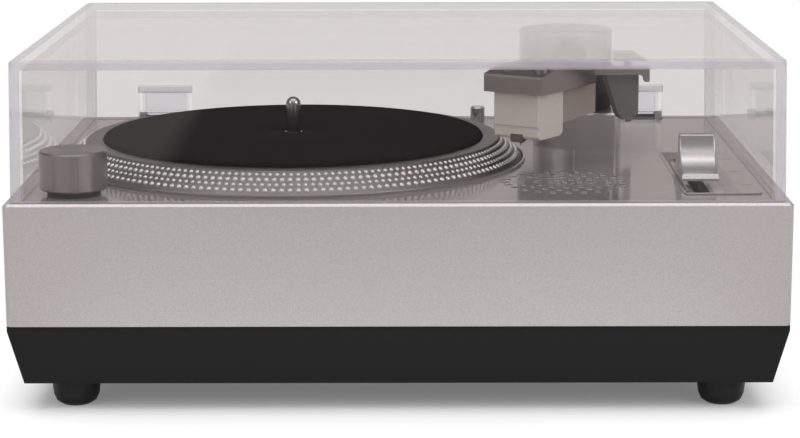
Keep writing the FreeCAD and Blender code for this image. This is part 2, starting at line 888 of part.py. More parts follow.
def motor_plate():
    """The steel plate that carries the motor."""
    z1 = well_under - grommet_height
    z0 = z1 - motor_plate_thick
    disc = rod(motor_x, motor_y, z0, z1, motor_radius)
    ears = [rod(x, y, z0, z1, grommet_radius + ear_wall) for x, y in motor_places()]
    arms = []
    for x, y in motor_places():
        way = V(x - motor_x, y - motor_y, 0)
        side = V(-way.y, way.x, 0)
        side.normalize()
        reach = side * (grommet_radius + ear_wall)
        start = V(motor_x, motor_y, z0)
        end = V(x, y, z0)
        arms.append(prism([start - reach, end - reach, end + reach, start + reach],
                          V(0, 0, motor_plate_thick)))
    plate = fuse(disc, *(ears + arms))
    plate = plate.cut(rod(motor_x, motor_y, z0 - 1, z1 + 1, motor_hole_radius))
    for x, y in motor_places():
        plate = plate.cut(rod(x, y, z0 - 1, z1 + 1, flange_screw_radius + seat_gap))
    return plate


def motor_grommets():
    """Three rubber rings between the motor's plate and the well."""
    z0 = well_under - grommet_height
    return [pipe(x, y, z0, well_under, grommet_radius, flange_screw_radius + seat_gap) for x,
            y in motor_places()]


def motor_can():
    """The motor's steel can with its front boss."""
    z1 = well_under - grommet_height - motor_plate_thick
    can = rod(motor_x, motor_y, z1 - motor_height, z1, motor_radius - 1)
    can = can.makeFillet(motor_round, level_edges(can, z1 - motor_height))
    boss = rod(motor_x, motor_y, z1 - 0.5, z1 + motor_plate_thick + motor_boss_height, motor_boss_radius)
    return fuse(can, boss).cut(rod(motor_x, motor_y, z1 - 8, z1 + 5, shaft_radius + running_gap))


def motor_shaft():
    """The motor's thin shaft, up into the pulley."""
    z1 = well_under - grommet_height - motor_plate_thick
    return rod(motor_x, motor_y, z1 - motor_shaft_bite, deck_z + belt_top + 0.2, shaft_radius)


def motor_pulley():
    """The flanged pulley on the motor's shaft."""
    top = deck_z + belt_top + 0.6
    low = deck_z + belt_top - belt_width - 0.2
    body = rod(motor_x, motor_y, low - pulley_flange_thick, top, pulley_radius)
    for z in (low - pulley_flange_thick, top - pulley_flange_thick):
        body = body.fuse(rod(motor_x, motor_y, z, z + pulley_flange_thick, pulley_radius + pulley_flange))
    return body.removeSplitter().cut(rod(motor_x, motor_y, low - 3, deck_z + belt_top + 0.2,
                                         shaft_radius + seat_gap))


def speaker_frame():
    """The loudspeaker's basket under the grille."""
    top = deck_low
    profile = [(speaker_radius - frame_rim, 0), (speaker_radius, 0), (speaker_radius, -frame_rim),
               (magnet_radius - 1, -speaker_depth), (0, -speaker_depth),
               (0, -speaker_depth + frame_sheet),
               (magnet_radius - 2.2, -speaker_depth + frame_sheet),
               (speaker_radius - frame_rim, -frame_rim)]
    return turned(grille_x, grille_y, top, profile)


def speaker_cone():
    """The loudspeaker's paper cone and dust cap."""
    edge = speaker_radius - frame_rim - 0.2
    profile = [(edge, -1.0), (edge, -1.0 - cone_thick), (cone_throat, -cone_depth), (0, -cone_depth),
               (0, -cone_depth + 3 * cone_thick), (dust_cap_radius - 1.4, -cone_depth + 2.2 * cone_thick),
               (dust_cap_radius, -cone_depth + cone_thick)]
    return turned(grille_x, grille_y, deck_low, profile)


def speaker_magnet():
    """The loudspeaker's magnet."""
    z1 = deck_low - speaker_depth
    return rod(grille_x, grille_y, z1 - magnet_height, z1, magnet_radius)


def volume_knob():
    """The turned knob: bevelled, hollow below, with a boss for the shaft and a groove as its index."""
    profile = [(0, knob_lift + knob_bore), (pot_shaft_radius + seat_gap, knob_lift + knob_bore),
               (pot_shaft_radius + seat_gap, knob_lift + knob_hub_low),
               (pot_shaft_radius + knob_hub_wall, knob_lift + knob_hub_low),
               (pot_shaft_radius + knob_hub_wall, knob_lift + knob_cavity),
               (knob_radius - knob_wall, knob_lift + knob_cavity),
               (knob_radius - knob_wall, knob_lift), (knob_radius - knob_bevel, knob_lift),
               (knob_radius, knob_lift + knob_bevel), (knob_radius, knob_lift + knob_height - knob_bevel),
               (knob_radius - knob_bevel, knob_lift + knob_height), (0, knob_lift + knob_height)]
    knob = turned(knob_x, knob_y, deck_z, profile)
    line = box(knob_x + knob_radius - knob_line_depth, knob_x + knob_radius + 1,
               knob_y - knob_line_width / 2,
               knob_y + knob_line_width / 2, deck_z, deck_z + knob_lift + knob_height - knob_line_top)
    line.rotate(V(knob_x, knob_y, 0), V(0, 0, 1), knob_line_angle)
    return knob.cut(line)


def knob_ring():
    """The black ring round the knob's foot, which is the nut of the control below."""
    return pipe(knob_x, knob_y, deck_z, deck_z + knob_ring_height, knob_ring_radius,
                pot_bushing_radius + seat_gap)


def volume_pot():
    """The rotary control under the deck with its threaded neck."""
    body = rod(knob_x, knob_y, deck_low - pot_body_height, deck_low, pot_body_radius)
    neck = rod(knob_x, knob_y, deck_low - 1, deck_z + knob_ring_height, pot_bushing_radius)
    bore = rod(knob_x, knob_y, deck_low - 5, deck_z + 10, pot_shaft_radius - pot_shaft_step + running_gap)
    return fuse(body, neck).cut(bore)


def pot_shaft():
    """The control's shaft, which turns with the knob."""
    thin = rod(knob_x, knob_y, deck_low - pot_shaft_low, deck_z + knob_ring_height + 0.6,
               pot_shaft_radius - pot_shaft_step)
    thick = rod(knob_x, knob_y, deck_z + knob_ring_height + 0.3, deck_z + knob_lift + 6.9, pot_shaft_radius)
    return fuse(thin, thick)


def slider_bezel():
    """The slider's panel: a long sloped groove with a slot in it and three engraved marks beside it."""
    top = deck_z + bezel_proud
    panel = rounded_block(bezel_left, bezel_right, bezel_front, bezel_back, deck_z, top, bezel_corner)
    panel = panel.makeChamfer(bezel_bevel, level_edges(panel, top))
    gap = bezel_flange + panel_gap
    panel = fuse(panel, box(bezel_left + gap, bezel_right - gap, bezel_front + gap, bezel_back - gap,
                            deck_z - bezel_deep, deck_z + 0.1))
    floor = top - groove_depth
    front = bezel_front + 0.6
    back = bezel_back - 0.6
    lower = [V(groove_left + groove_slope_left, front + groove_slope_end, floor),
             V(groove_right - groove_slope_right, front + groove_slope_end, floor),
             V(groove_right - groove_slope_right, back - groove_slope_end, floor),
             V(groove_left + groove_slope_left, back - groove_slope_end, floor)]
    upper = [V(groove_left, front, top), V(groove_right, front, top),
             V(groove_right, back, top), V(groove_left, back, top)]
    wires = [Part.makePolygon(points + points[:1]) for points in (lower, upper)]
    panel = panel.cut(Part.makeLoft(wires, True, True))
    panel = panel.cut(box(slider_x - slot_width / 2, slider_x + slot_width / 2,
                          front + groove_slope_end + 0.5, back - groove_slope_end - 0.5, deck_z - 9, top + 1))
    middle = (slider_low_y + slider_high_y) / 2
    for y in (slider_low_y, middle, slider_high_y):
        x0 = groove_right + 1.4
        panel = panel.cut(box(x0, x0 + tick_length, y - tick_width / 2, y + tick_width / 2,
                              top - tick_depth, top + 1))
    return panel


def slide_pot():
    """The slide control under the bezel: a box with a slot along its top."""
    low = slider_low_y - stem_width / 2 - 4
    high = slider_high_y + stem_width / 2 + 4
    top = deck_z - bezel_deep
    body = box(slider_x - slide_pot_width / 2, slider_x + slide_pot_width / 2, low, high,
               top - slide_pot_height, top)
    body = body.cut(box(slider_x - slide_window_width / 2, slider_x + slide_window_width / 2,
                        low + slide_window_inset, high - slide_window_inset,
                        top - slide_pot_height + slide_window_depth, top + 1))
    return body


def slider_stem():
    """The slide control's moving blade."""
    low = deck_z - bezel_deep - stem_deep
    return box(slider_x - stem_thick / 2, slider_x + stem_thick / 2, slider_rest_y - stem_width / 2,
               slider_rest_y + stem_width / 2, low, deck_z + cap_low + stem_rise)


def slider_cap():
    """The slider's cap: a saddle with two hollow finger faces that meet at a crest, over a small lip."""
    half = cap_length / 2
    z0 = deck_z + cap_low
    z1 = z0 + cap_lip
    z2 = deck_z + cap_top
    x = slider_x - cap_width / 2
    crest = cap_crest / 2

    def at(y, z):
        return V(x, slider_rest_y + y, z)

    foot = half - cap_foot_run
    chord_y = (foot + crest) / 2
    chord_z = (z1 + z2) / 2
    edge = z0 + cap_lip_edge
    edges = [Part.LineSegment(at(-half, z0), at(half, z0)).toShape(),
             Part.LineSegment(at(half, z0), at(half, edge)).toShape(),
             Part.LineSegment(at(half, edge), at(foot, z1)).toShape(),
             Part.Arc(at(foot, z1), at(chord_y - cap_hollow, chord_z - cap_hollow),
                      at(crest, z2)).toShape(),
             Part.Arc(at(crest, z2), at(0, z2 + cap_dome), at(-crest, z2)).toShape(),
             Part.Arc(at(-crest, z2), at(-chord_y + cap_hollow, chord_z - cap_hollow),
                      at(-foot, z1)).toShape(),
             Part.LineSegment(at(-foot, z1), at(-half, edge)).toShape(),
             Part.LineSegment(at(-half, edge), at(-half, z0)).toShape()]
    cap = Part.Face(Part.Wire(edges)).extrude(V(cap_width, 0, 0))
    sides = [edge for edge in cap.Edges if edge.BoundBox.XLength < 1e-6 and edge.BoundBox.ZMin > z1 - 1e-6
             and edge.BoundBox.ZLength > cap_dome / 2]
    cap = cap.makeFillet(cap_round, sides)
    pocket = box(slider_x - stem_thick / 2 - seat_gap, slider_x + stem_thick / 2 + seat_gap,
                 slider_rest_y - stem_width / 2 - seat_gap, slider_rest_y + stem_width / 2 + seat_gap,
                 z0 - 1, deck_z + cap_low + stem_rise + stem_play)
    return cap.cut(pocket)


def arm_base():
    """The round pedestal under the tonearm: square front, threaded neck through the deck, axle hole."""
    height = deck_z + pedestal_height
    base = rod(pedestal_x, pedestal_y, deck_z, height, pedestal_radius)
    left = arm_x + pedestal_block_dx
    block = rounded_block(left, left + pedestal_block_width, arm_y + pedestal_block_dy, pedestal_y, deck_z,
                          height,
                          pedestal_block_round)
    base = fuse(base, block)
    base = base.makeChamfer(pedestal_edge, level_edges(base, height))
    base = fuse(base, rod(arm_x, arm_y, deck_z + arm_stud_low, deck_z + 1, arm_stud_radius))
    base = base.cut(rod(arm_x, arm_y, deck_z + arm_stud_low - 1, height + 1, arm_bush_radius))
    base = base.cut(rod(bracket_x, bracket_y, height - bracket_pin_sink, height + 1,
                        bracket_pin_radius + seat_gap))
    return base.cut(lying(V(pedestal_x + 6, cue_axle_y, deck_z + cue_axle_z), V(1, 0, 0), 60,
                          cue_axle_radius + running_gap))


def arm_bush():
    """The bush that the arm's upright shaft turns in."""
    return pipe(arm_x, arm_y, deck_z + arm_stud_low, deck_z + pedestal_height, arm_bush_radius - seat_gap,
                arm_shaft_radius + running_gap)


def arm_nut():
    """The nut that keeps the pedestal's neck in the deck."""
    low = deck_low - arm_nut_height
    points = []
    for index in range(6):
        angle = math.radians(60 * index)
        points.append(V(arm_x + arm_nut_radius * math.cos(angle), arm_y + arm_nut_radius * math.sin(angle),
                        low))
    nut = prism(points, V(0, 0, arm_nut_height))
    return nut.cut(rod(arm_x, arm_y, low - 1, deck_z, arm_stud_radius + seat_gap))


def arm_shaft():
    """The upright shaft of the pillar, with a clip groove at its foot."""
    groove_z = clip_z()
    shaft = rod(arm_x, arm_y, deck_z + arm_shaft_low, deck_z + pedestal_height + arm_gap, arm_shaft_radius)
    groove = pipe(arm_x, arm_y, groove_z, groove_z + clip_groove, arm_shaft_radius + 1,
                  arm_shaft_radius - clip_step)
    return shaft.cut(groove)


def clip_z():
    """The height of the clip groove, just under the bush."""
    return deck_z + arm_stud_low - 1.3


def arm_circlip():
    """The spring clip in the shaft's groove."""
    z0 = clip_z() + 0.05
    return pipe(arm_x, arm_y, z0, z0 + clip_thick, arm_shaft_radius + clip_rim,
                arm_shaft_radius - clip_step + seat_gap)


def arm_neck():
    """The black neck that turns on the pedestal: a cup with an opening in front, which carries the pillar."""
    low = deck_z + pedestal_height + arm_gap
    neck = rod(arm_x, arm_y, low, deck_z + pillar_low, neck_radius)
    neck = neck.makeChamfer(neck_edge, level_edges(neck, low))
    neck = neck.cut(rod(arm_x, arm_y, deck_z + neck_floor, deck_z + pillar_low + 1,
                        pillar_radius - pillar_wall))
    return neck.cut(arm_slot())


def arm_slot():
    """The arched opening in front that the arm's tube passes through."""
    arch_z = tube_level + 0.2
    front = arm_y - pillar_radius - 1
    slot = box(arm_x - slot_half, arm_x + slot_half, front, arm_y, deck_z + slot_low, arch_z)
    return slot.fuse(lying(V(arm_x, front, arch_z), V(0, 1, 0), pillar_radius, slot_half))


def arm_pillar():
    """The silver cap on the neck: the top of the arched opening in front and holes for the cross pin."""
    low = deck_z + pillar_low
    top = deck_z + pillar_top
    can = rod(arm_x, arm_y, low, top, pillar_radius)
    can = can.makeFillet(0.8, level_edges(can, top))
    can = can.cut(rod(arm_x, arm_y, low - 1, top - pillar_wall, pillar_radius - pillar_wall))
    can = can.cut(arm_slot())
    return can.cut(lying(V(arm_x - pillar_radius - 1, arm_y, tube_level),
    V(1, 0, 0), 2 * pillar_radius + 2,
                         lift_pin_radius + seat_gap))


def lift_pin():
    """The cross pin that the arm rises and falls on."""
    reach = pillar_radius - 0.4
    return lying(V(arm_x - reach, arm_y, tube_level), V(1, 0, 0), 2 * reach, lift_pin_radius)


def elbow():
    """The corner of the arm's tube behind the headshell."""
    rear = shell_point(headshell_length, 0, tube_z)
    return rear + along * ((arm_x - rear.x) / along.x)


def arm_tube():
    """The arm: a block on the cross pin, a straight tube, an elbow and a flat tongue into the headshell."""
    corner = elbow()
    half = lift_block_width / 2
    block = box(arm_x - half, arm_x + half, arm_y - lift_block_length / 2, arm_y + lift_block_length / 2,
                tube_level - lift_block_height / 2, tube_level + lift_block_height / 2)
    tube = lying(corner, V(0, 1, 0), arm_y - corner.y, tube_radius)
    ball = Part.makeSphere(tube_radius, corner)
    top = headshell_top - headshell_roof
    tongue = shell_block(tongue_start, headshell_length + 2.5, -tongue_half, tongue_half,
                         top - tongue_thick, top)
    reach = tube_radius * 0.92
    waist = shell_block(headshell_length + 0.4, headshell_length + 2.8, -reach, reach, top - tongue_thick,
                        top)
    round_part = tube.fuse(ball).cut(shell_block(0, headshell_length + 0.05, -30, 30, 20, 45))
    arm = fuse(block, round_part, tongue, waist)
    arm = arm.cut(lying(corner + V(0, 2, 0), V(0, 1, 0), arm_y - lift_block_length / 2 - corner.y - 3,
                        tube_bore))
    hole_y = corner.y + lead_hole_back
    arm = arm.cut(rod(arm_x, hole_y, tube_level - tube_radius - 1, tube_level, lead_hole_radius))
    place = shell_point(clamp_screw_s, clamp_screw_c, 0)
    arm = arm.cut(rod(place.x, place.y, deck_z + top - 4, deck_z + top + 1,
                      cartridge_screw_radius + seat_gap))
    return arm.cut(lying(V(arm_x - half - 1, arm_y, tube_level), V(1, 0, 0), lift_block_width + 2,
                         lift_pin_radius + running_gap))


def headshell_outline():
    """The headshell's side outline: a low nose that rises in a soft step to a flat top."""
    points = [(0, headshell_low), (headshell_length, headshell_low), (headshell_length, headshell_top)]
    steps = 5
    for index in range(steps + 1):
        share = 1 - index / steps
        height = headshell_nose + (headshell_top - headshell_nose) * math.sin(share * math.pi / 2)
        points.append((share * headshell_nose_run, height))
    return points


def roof_level(s):
    """The height of the headshell's top face at s."""
    share = min(1.0, s / headshell_nose_run)
    return headshell_nose + (headshell_top - headshell_nose) * math.sin(share * math.pi / 2)


def headshell():
    """The headshell: a hollow cover with side skirts, open below, bored for three screws."""
    half = headshell_width / 2
    body = shell_side(headshell_outline(), -half, half)
    body = body.makeChamfer(part_bevel, upright_edges(body))
    body = body.makeChamfer(headshell_nose_bevel, level_edges(body, deck_z + headshell_nose))
    nose_top = headshell_nose - headshell_roof
    roof = headshell_top - headshell_roof
    inner = [(headshell_wall, headshell_low - 1), (headshell_length - headshell_wall, headshell_low - 1),
             (headshell_length - headshell_wall, roof), (headshell_nose_run, roof),
             (headshell_wall, nose_top)]
    body = body.cut(shell_side(inner, -half + headshell_wall, half - headshell_wall))
    for side in (-0.5, 0.5):
        place = shell_point(screw_s, side * screw_spread, 0)
        body = body.cut(rod(place.x, place.y, deck_z + 20, deck_z + 50, cartridge_screw_radius + seat_gap))
        body = body.cut(rod(place.x, place.y, deck_z + screw_seat(), deck_z + 50,
                            cartridge_screw_head + 0.1))
    place = shell_point(clamp_screw_s, clamp_screw_c, 0)
    body = body.cut(rod(place.x, place.y, deck_z + 20, deck_z + 50, cartridge_screw_radius + seat_gap))
    window = shell_block(headshell_length - headshell_wall - 1, headshell_length + 1,
                         -tongue_half - seat_gap,
                         tongue_half + seat_gap, roof - tongue_thick - seat_gap, roof)
    return body.cut(window)


def screw_seat():
    """The height of the small flats under the cartridge screws' heads."""
    return roof_level(screw_s - cartridge_screw_head) - 0.05


def cartridge_front():
    """The cream front block of the cartridge, with a bevelled foot and a step across its face."""
    half = cartridge_width / 2
    s0 = cartridge_nose
    s1 = cartridge_nose + cartridge_front_length
    top = headshell_nose - headshell_roof - 0.2
    low = cartridge_low
    side = [(s0, low + 4.4), (s0 + 0.4, low + 4.2), (s0 + 0.4, low + 0.9), (s0 + 1.2, low),
            (s1 - 2.0, low),
            (s1, low + 1.2), (s1, top), (s0, top)]
    block = shell_side(side, -half, half)
    block = block.makeChamfer(part_bevel, upright_edges(block))
    notch = shell_block(s0 - 1, s0 + 5.2, -stylus_width / 2 - 0.1, stylus_width / 2 + 0.1, low - 1,
                        low + 1.6)
    hollow = shell_block(s0 + cartridge_front_wall, s1 + 1, -half + cartridge_skin, half - cartridge_skin,
                         low + 3.2, top + 1)
    return block.cut(notch).cut(hollow)


def cartridge_body():
    """The cartridge's body: its rear shows behind the front block, its neck is screwed to the headshell."""
    half = cartridge_body_width / 2
    s0 = cartridge_nose + cartridge_front_length + 0.05
    s1 = cartridge_body_end
    roof = headshell_top - headshell_roof
    body = shell_side([(s0, cartridge_body_low), (s1, cartridge_body_low + 0.8), (s1, cartridge_body_top),
                       (s0, cartridge_body_top)], -half, half)
    inner = cartridge_width / 2 - cartridge_skin - 0.05
    front = cartridge_nose + cartridge_front_wall + 0.05
    nose_top = headshell_nose - headshell_roof
    neck = shell_side([(front, cartridge_low + 3.25), (s0 + 1, cartridge_low + 4.2),
                       (cartridge_neck_end, cartridge_body_top),
                       (cartridge_neck_end, roof), (headshell_nose_run, roof),
                       (front, nose_top + (front - headshell_wall) / (headshell_nose_run - headshell_wall)
                        * (roof - nose_top))], -inner, inner)
    whole = fuse(body, neck)
    for side in (-0.5, 0.5):
        place = shell_point(screw_s, side * screw_spread, 0)
        whole = whole.cut(rod(place.x, place.y, deck_z + roof - 7, deck_z + roof + 1,
                              cartridge_screw_radius + seat_gap))
    return whole


def cartridge_terminals():
    """The black block with four pins at the cartridge's back."""
    half = cartridge_body_width / 2 - 0.8
    s0 = cartridge_body_end
    s1 = s0 + terminal_length
    low = cartridge_body_low + 0.9
    block = shell_side([(s0, low), (s1 - 1.2, low + 0.4), (s1, low + 1.4), (s1, cartridge_body_top - 0.6),
                        (s0, cartridge_body_top)], -half, half)
    pins = [lying(shell_point(s1 - 1, c, z), along, pin_length + 1, 0.5) for c, z in pin_places()]
    return fuse(block, *pins)


def pin_places():
    """The four pins: offset across and height."""
    return [(c, z) for c in (-pin_spread, pin_spread) for z in (19.6, 23.4)]


def cartridge_wires():
    """Four thin leads from the cartridge's pins up into the hole in the arm's tube."""
    wires = []
    s1 = cartridge_body_end + terminal_length + pin_length + lead_gap
    corner = elbow()
    for index, (c, z) in enumerate(pin_places()):
        start = shell_point(s1, c, z)
        offset_x = lead_spread if c > 0 else -lead_spread
        offset_y = lead_spread if index % 2 else -lead_spread
        end = V(arm_x + offset_x, corner.y + lead_hole_back + offset_y, tube_level - tube_radius + 0.6)
        knee = start + along * (lead_bend if index % 2 else lead_bend + 1.2) + V(0, 0, 1.0)
        below = V(end.x, end.y, end.z - 2.4)
        curve = Part.BSplineCurve()
        curve.interpolate([start, knee, below, end], False)
        path = Part.Wire([curve.toShape()])
        way = curve.tangent(curve.FirstParameter)[0]
        ring = Part.Wire([Part.Circle(start, way, lead_radius).toShape()])
        wires.append(path.makePipeShell([ring], True, False))
    return wires


def stylus_arm():
    """The replaceable stylus: a grip, a thin cantilever and its point, under the front block."""
    half = stylus_width / 2
    s0 = cartridge_nose + 0.2
    low = cartridge_low
    grip = shell_side([(s0, low - 0.6), (s0 + 0.6, low - 1.3), (s0 + 4.2, low - 0.2),
                       (s0 + 4.2, low + 1.5),
                       (s0, low + 1.5)], -half, half)
    tip = shell_point(s0 + stylus_back, 0, stylus_tip_z)
    point = Part.makeCone(0.12, 0.45, low - stylus_tip_z, tip)
    return fuse(grip, point)


def headshell_screws():
    """Three equal screws in the headshell's roof: two hold the cartridge, one clamps the arm's tongue."""
    screws = []
    for s, c, seat in ((screw_s, -screw_spread / 2, screw_seat()),
                       (screw_s, screw_spread / 2, screw_seat()),
                       (clamp_screw_s, clamp_screw_c, headshell_top)):
        place = shell_point(s, c, 0)
        screws.append(pan_screw(place.x, place.y, deck_z + seat, cartridge_screw_length,
                                cartridge_screw_radius,
                                cartridge_screw_head, cartridge_screw_cap, up=False))
    return screws


def finger_lift():
    """The finger lift: a tab from the headshell's side to the right with a turned-down end."""
    back = headshell_length - 2.0
    root = shell_point(back, headshell_width / 2, 0)
    front = root.y - 0.2
    z0 = deck_z + lift_tab_low
    z1 = z0 + lift_tab_thick

    def at(x, z):
        return V(x, front, z)

    right = lift_tab_right
    lip_z = z0 - lift_tab_lip
    edges = [Part.LineSegment(at(root.x, z0), at(paddle_right + 0.1, z0)).toShape(),
             Part.Arc(at(paddle_right + 0.1, z0), at(right - 2.3, z0 - 0.7),
                      at(right - 1.7, lip_z)).toShape(),
             Part.LineSegment(at(right - 1.7, lip_z), at(right, lip_z)).toShape(),
             Part.LineSegment(at(right, lip_z), at(right, z1)).toShape(),
             Part.LineSegment(at(right, z1), at(root.x, z1)).toShape(),
             Part.LineSegment(at(root.x, z1), at(root.x, z0)).toShape()]
    tab = Part.Face(Part.Wire(edges)).extrude(V(0, lift_tab_depth, 0))
    return tab.cut(shell_block(0, headshell_length, -30, headshell_width / 2, lift_tab_low - 9,
                               lift_tab_low + 11))


def grip_plate():
    """The dark plate under the finger lift, with a bevelled slanting left side and round corners."""
    middle = shell_point(headshell_length - 2.0, headshell_width / 2, 0).y + lift_tab_depth / 2
    high = deck_z + lift_tab_low
    low = deck_z + paddle_low

    def outline(y, left):
        slant = left + paddle_slant
        points = [V(left, y, high), V(left, y, high - 1.2), V(left + paddle_slant * 0.86, y, low + 2.2),
                  V(slant + 0.3, y, low + 0.6), V(slant + 1.5, y, low),
                  V(paddle_right - 1.2, y, low + 0.8),
                  V(paddle_right - 0.2, y, low + 1.6), V(paddle_right, y, low + 2.6),
                  V(paddle_right, y, high)]
        return Part.makePolygon(points + points[:1])

    wires = [outline(middle, paddle_left + paddle_bevel), outline(middle + paddle_thick, paddle_left)]
    return Part.makeLoft(wires, True, True)


def rest_bracket():
    """The black arm rest: a pin in the pedestal, a bent bar, a pad with one prong and the cue pin's boss."""
    low = deck_z + bracket_low
    high = low + bracket_thick
    route = [V(bracket_x, bracket_y, low)] + [V(arm_x + dx, arm_y + dy, low) for dx, dy in bracket_bends]
    route.append(V(rest_prong, rest_y, low))
    pieces_made = [rod(bracket_x, bracket_y, deck_z + pedestal_height - 3.9, high, bracket_pin_radius)]
    for point in route:
        pieces_made.append(rod(point.x, point.y, low, high, bracket_width / 2))
    for start, end in zip(route, route[1:]):
        way = end - start
        side = V(-way.y, way.x, 0)
        side.normalize()
        side = side * (bracket_width / 2)
        pieces_made.append(prism([start - side, end - side, end + side, start + side],
                                 V(0, 0, bracket_thick)))
    pad_top = tube_level - tube_radius - arm_gap
    pieces_made.append(box(rest_left, rest_prong + rest_prong_width, rest_y - rest_depth / 2,
                           rest_y + rest_depth / 2, low, pad_top))
    pieces_made.append(box(rest_prong, rest_prong + rest_prong_width, rest_y - rest_depth / 2,
                           rest_y + rest_depth / 2, low,
                           deck_z + rest_prong_top))
    x, y = cue_pin_place()
    pieces_made.append(rod(x, y, low - 3.4, high, cue_boss_radius))
    bracket = fuse(*pieces_made)
    return bracket.cut(rod(x, y, low - 5, high + 1, cue_pin_radius + running_gap))


def cue_point(angle, radius, z):
    """A place round the pillar's axis."""
    turn = math.radians(angle)
    return V(arm_x + radius * math.cos(turn), arm_y + radius * math.sin(turn), z)


def cue_pin_place():
    """The cue lift's pin."""
    place = cue_point(cue_pin_angle, cue_radius, 0)
    return place.x, place.y


def cue_bar():
    """The curved bar that lifts the tube, on its pin down into the arm rest."""
    top = tube_level - tube_radius - arm_gap
    low = top - cue_bar_thick
    inner = cue_radius - cue_bar_width / 2
    outer = cue_radius + cue_bar_width / 2
    middle = (cue_bar_first + cue_bar_last) / 2
    edges = [Part.Arc(cue_point(cue_bar_first, outer, low), cue_point(middle, outer, low),
                      cue_point(cue_bar_last, outer, low)).toShape(),
             Part.LineSegment(cue_point(cue_bar_last, outer, low),
                              cue_point(cue_bar_last, inner, low)).toShape(),
             Part.Arc(cue_point(cue_bar_last, inner, low), cue_point(middle, inner, low),
                      cue_point(cue_bar_first, inner, low)).toShape(),
             Part.LineSegment(cue_point(cue_bar_first, inner, low),
                              cue_point(cue_bar_first, outer, low)).toShape()]
    bar = Part.Face(Part.Wire(edges)).extrude(V(0, 0, cue_bar_thick))
    x, y = cue_pin_place()
    return fuse(bar, rod(x, y, deck_z + bracket_low - 3.2, low + 1, cue_pin_radius))


def cue_lever():
    """The cue lever beside the pillar: an axle, a leaning arm and a handle with a sloping end."""
    x0 = cue_lever_left
    z = deck_z + cue_axle_z
    low = deck_z + cue_handle_low
    top = deck_z + cue_handle_top
    hub = lying(V(x0, cue_axle_y, z), V(1, 0, 0), cue_lever_thick, cue_hub_radius)
    stem = prism([V(x0, cue_axle_y - 2.0, z), V(x0, cue_axle_y + 2.0, z),
                  V(x0, cue_handle_y + 2.4, low + 1),
                  V(x0, cue_handle_y - 2.4, low + 1)], V(cue_lever_thick, 0, 0))
    front = cue_handle_y - cue_handle_depth / 2
    handle = prism([V(cue_handle_left, front, low), V(cue_handle_tip, front, low),
                    V(cue_handle_tip, front, low + 0.6), V(cue_handle_right, front, top - 0.6),
                    V(cue_handle_right - 0.6, front, top), V(cue_handle_left, front, top)],
                    V(0, cue_handle_depth, 0))
    axle = lying(V(pedestal_x + 7, cue_axle_y, z), V(1, 0, 0), x0 - pedestal_x - 6.9, cue_axle_radius)
    return fuse(hub, stem, handle, axle)


def adaptor_peg():
    """The small polished peg at the back of the deck."""
    peg = turned(peg_x, peg_y, deck_z, [(0, 0), (peg_radius, 0), (peg_radius, peg_height - 0.6),
                                        (peg_radius - 0.6, peg_height), (0, peg_height)])
    return fuse(peg, rod(peg_x, peg_y, deck_low - 2, deck_z + 0.5, 1.5))


def dust_cover():
    """The clear cover: five walls, two sockets at the back and two openings below them for the hinges."""
    half = cover_width / 2
    slope = cover_draft / (cover_z1 - cover_z0)
    outer = leaning_block(half, slope, cover_y0, cover_y1, cover_z0, cover_z1, cover_corner)
    outer = outer.makeFillet(cover_edge, level_edges(outer, cover_z1))
    inner = leaning_block(half - cover_side, slope, cover_y0 + cover_side, cover_y1 - cover_side,
                          cover_z0, cover_z1 - cover_roof, cover_corner_inside)
    cover = outer.cut(inner)
    y1 = cover_y1 - cover_side
    sockets = []
    for side in (-1, 1):
        x = side * hinge_x
        sockets.append(box(x - socket_width / 2, x + socket_width / 2, y1 - socket_depth, y1 + 0.5,
                           cover_z0 + 0.6, deck_z + socket_height))
    cover = fuse(cover, *sockets)
    for side in (-1, 1):
        x = side * hinge_x
        room = socket_width / 2 - socket_wall
        cover = cover.cut(box(x - room, x + room, y1 - socket_depth + socket_wall, y1,
                              cover_z0 - 1, deck_z + socket_height - socket_roof))
        cover = cover.cut(box(x - socket_width / 2 - 0.2, x + socket_width / 2 + 0.2, y1 - 0.1,
                              cover_y1 + 1,
                              cover_z0 - 1, deck_z + hinge_knuckle_radius + 0.8))
    return cover


def hinge_axis(side):
    """The middle of one hinge's pin."""
    return V(side * hinge_x, cover_y1, deck_z)


def hinge_base(side):
    """The black hinge base in its notch: a plate with two ears and screw holes."""
    axis = hinge_axis(side)
    x = axis.x
    half = hinge_notch_width / 2 - 0.3
    floor = deck_z - hinge_notch_depth
    y0 = plinth_depth / 2 - hinge_notch_run + 0.3
    y1 = plinth_depth / 2 - 0.2
    base = box(x - half, x + half, y0, y1, floor, floor + hinge_plate)
    ears = []
    for edge in (-1, 1):
        x0, x1 = sorted((x + edge * half, x + edge * (half - hinge_ear)))
        ears.append(box(x0, x1, axis.y - hinge_knuckle_radius, axis.y + hinge_knuckle_radius, floor,
                        axis.z))
        ears.append(lying(V(x0, axis.y, axis.z), V(1, 0, 0), hinge_ear, hinge_knuckle_radius))
    base = fuse(base, *ears)
    base = base.cut(lying(V(x - half - 1, axis.y, axis.z), V(1, 0, 0), 2 * half + 2,
                          hinge_pin_radius + seat_gap))
    for place_x, place_y in hinge_screw_places():
        base = base.cut(rod(place_x, place_y, floor - 1, floor + 0.8, small_screw_radius + seat_gap))
    return base


def hinge_pin(side):
    """The steel pin of one hinge."""
    axis = hinge_axis(side)
    half = hinge_notch_width / 2 - 0.3
    return lying(V(axis.x - half, axis.y, axis.z), V(1, 0, 0), 2 * half, hinge_pin_radius)


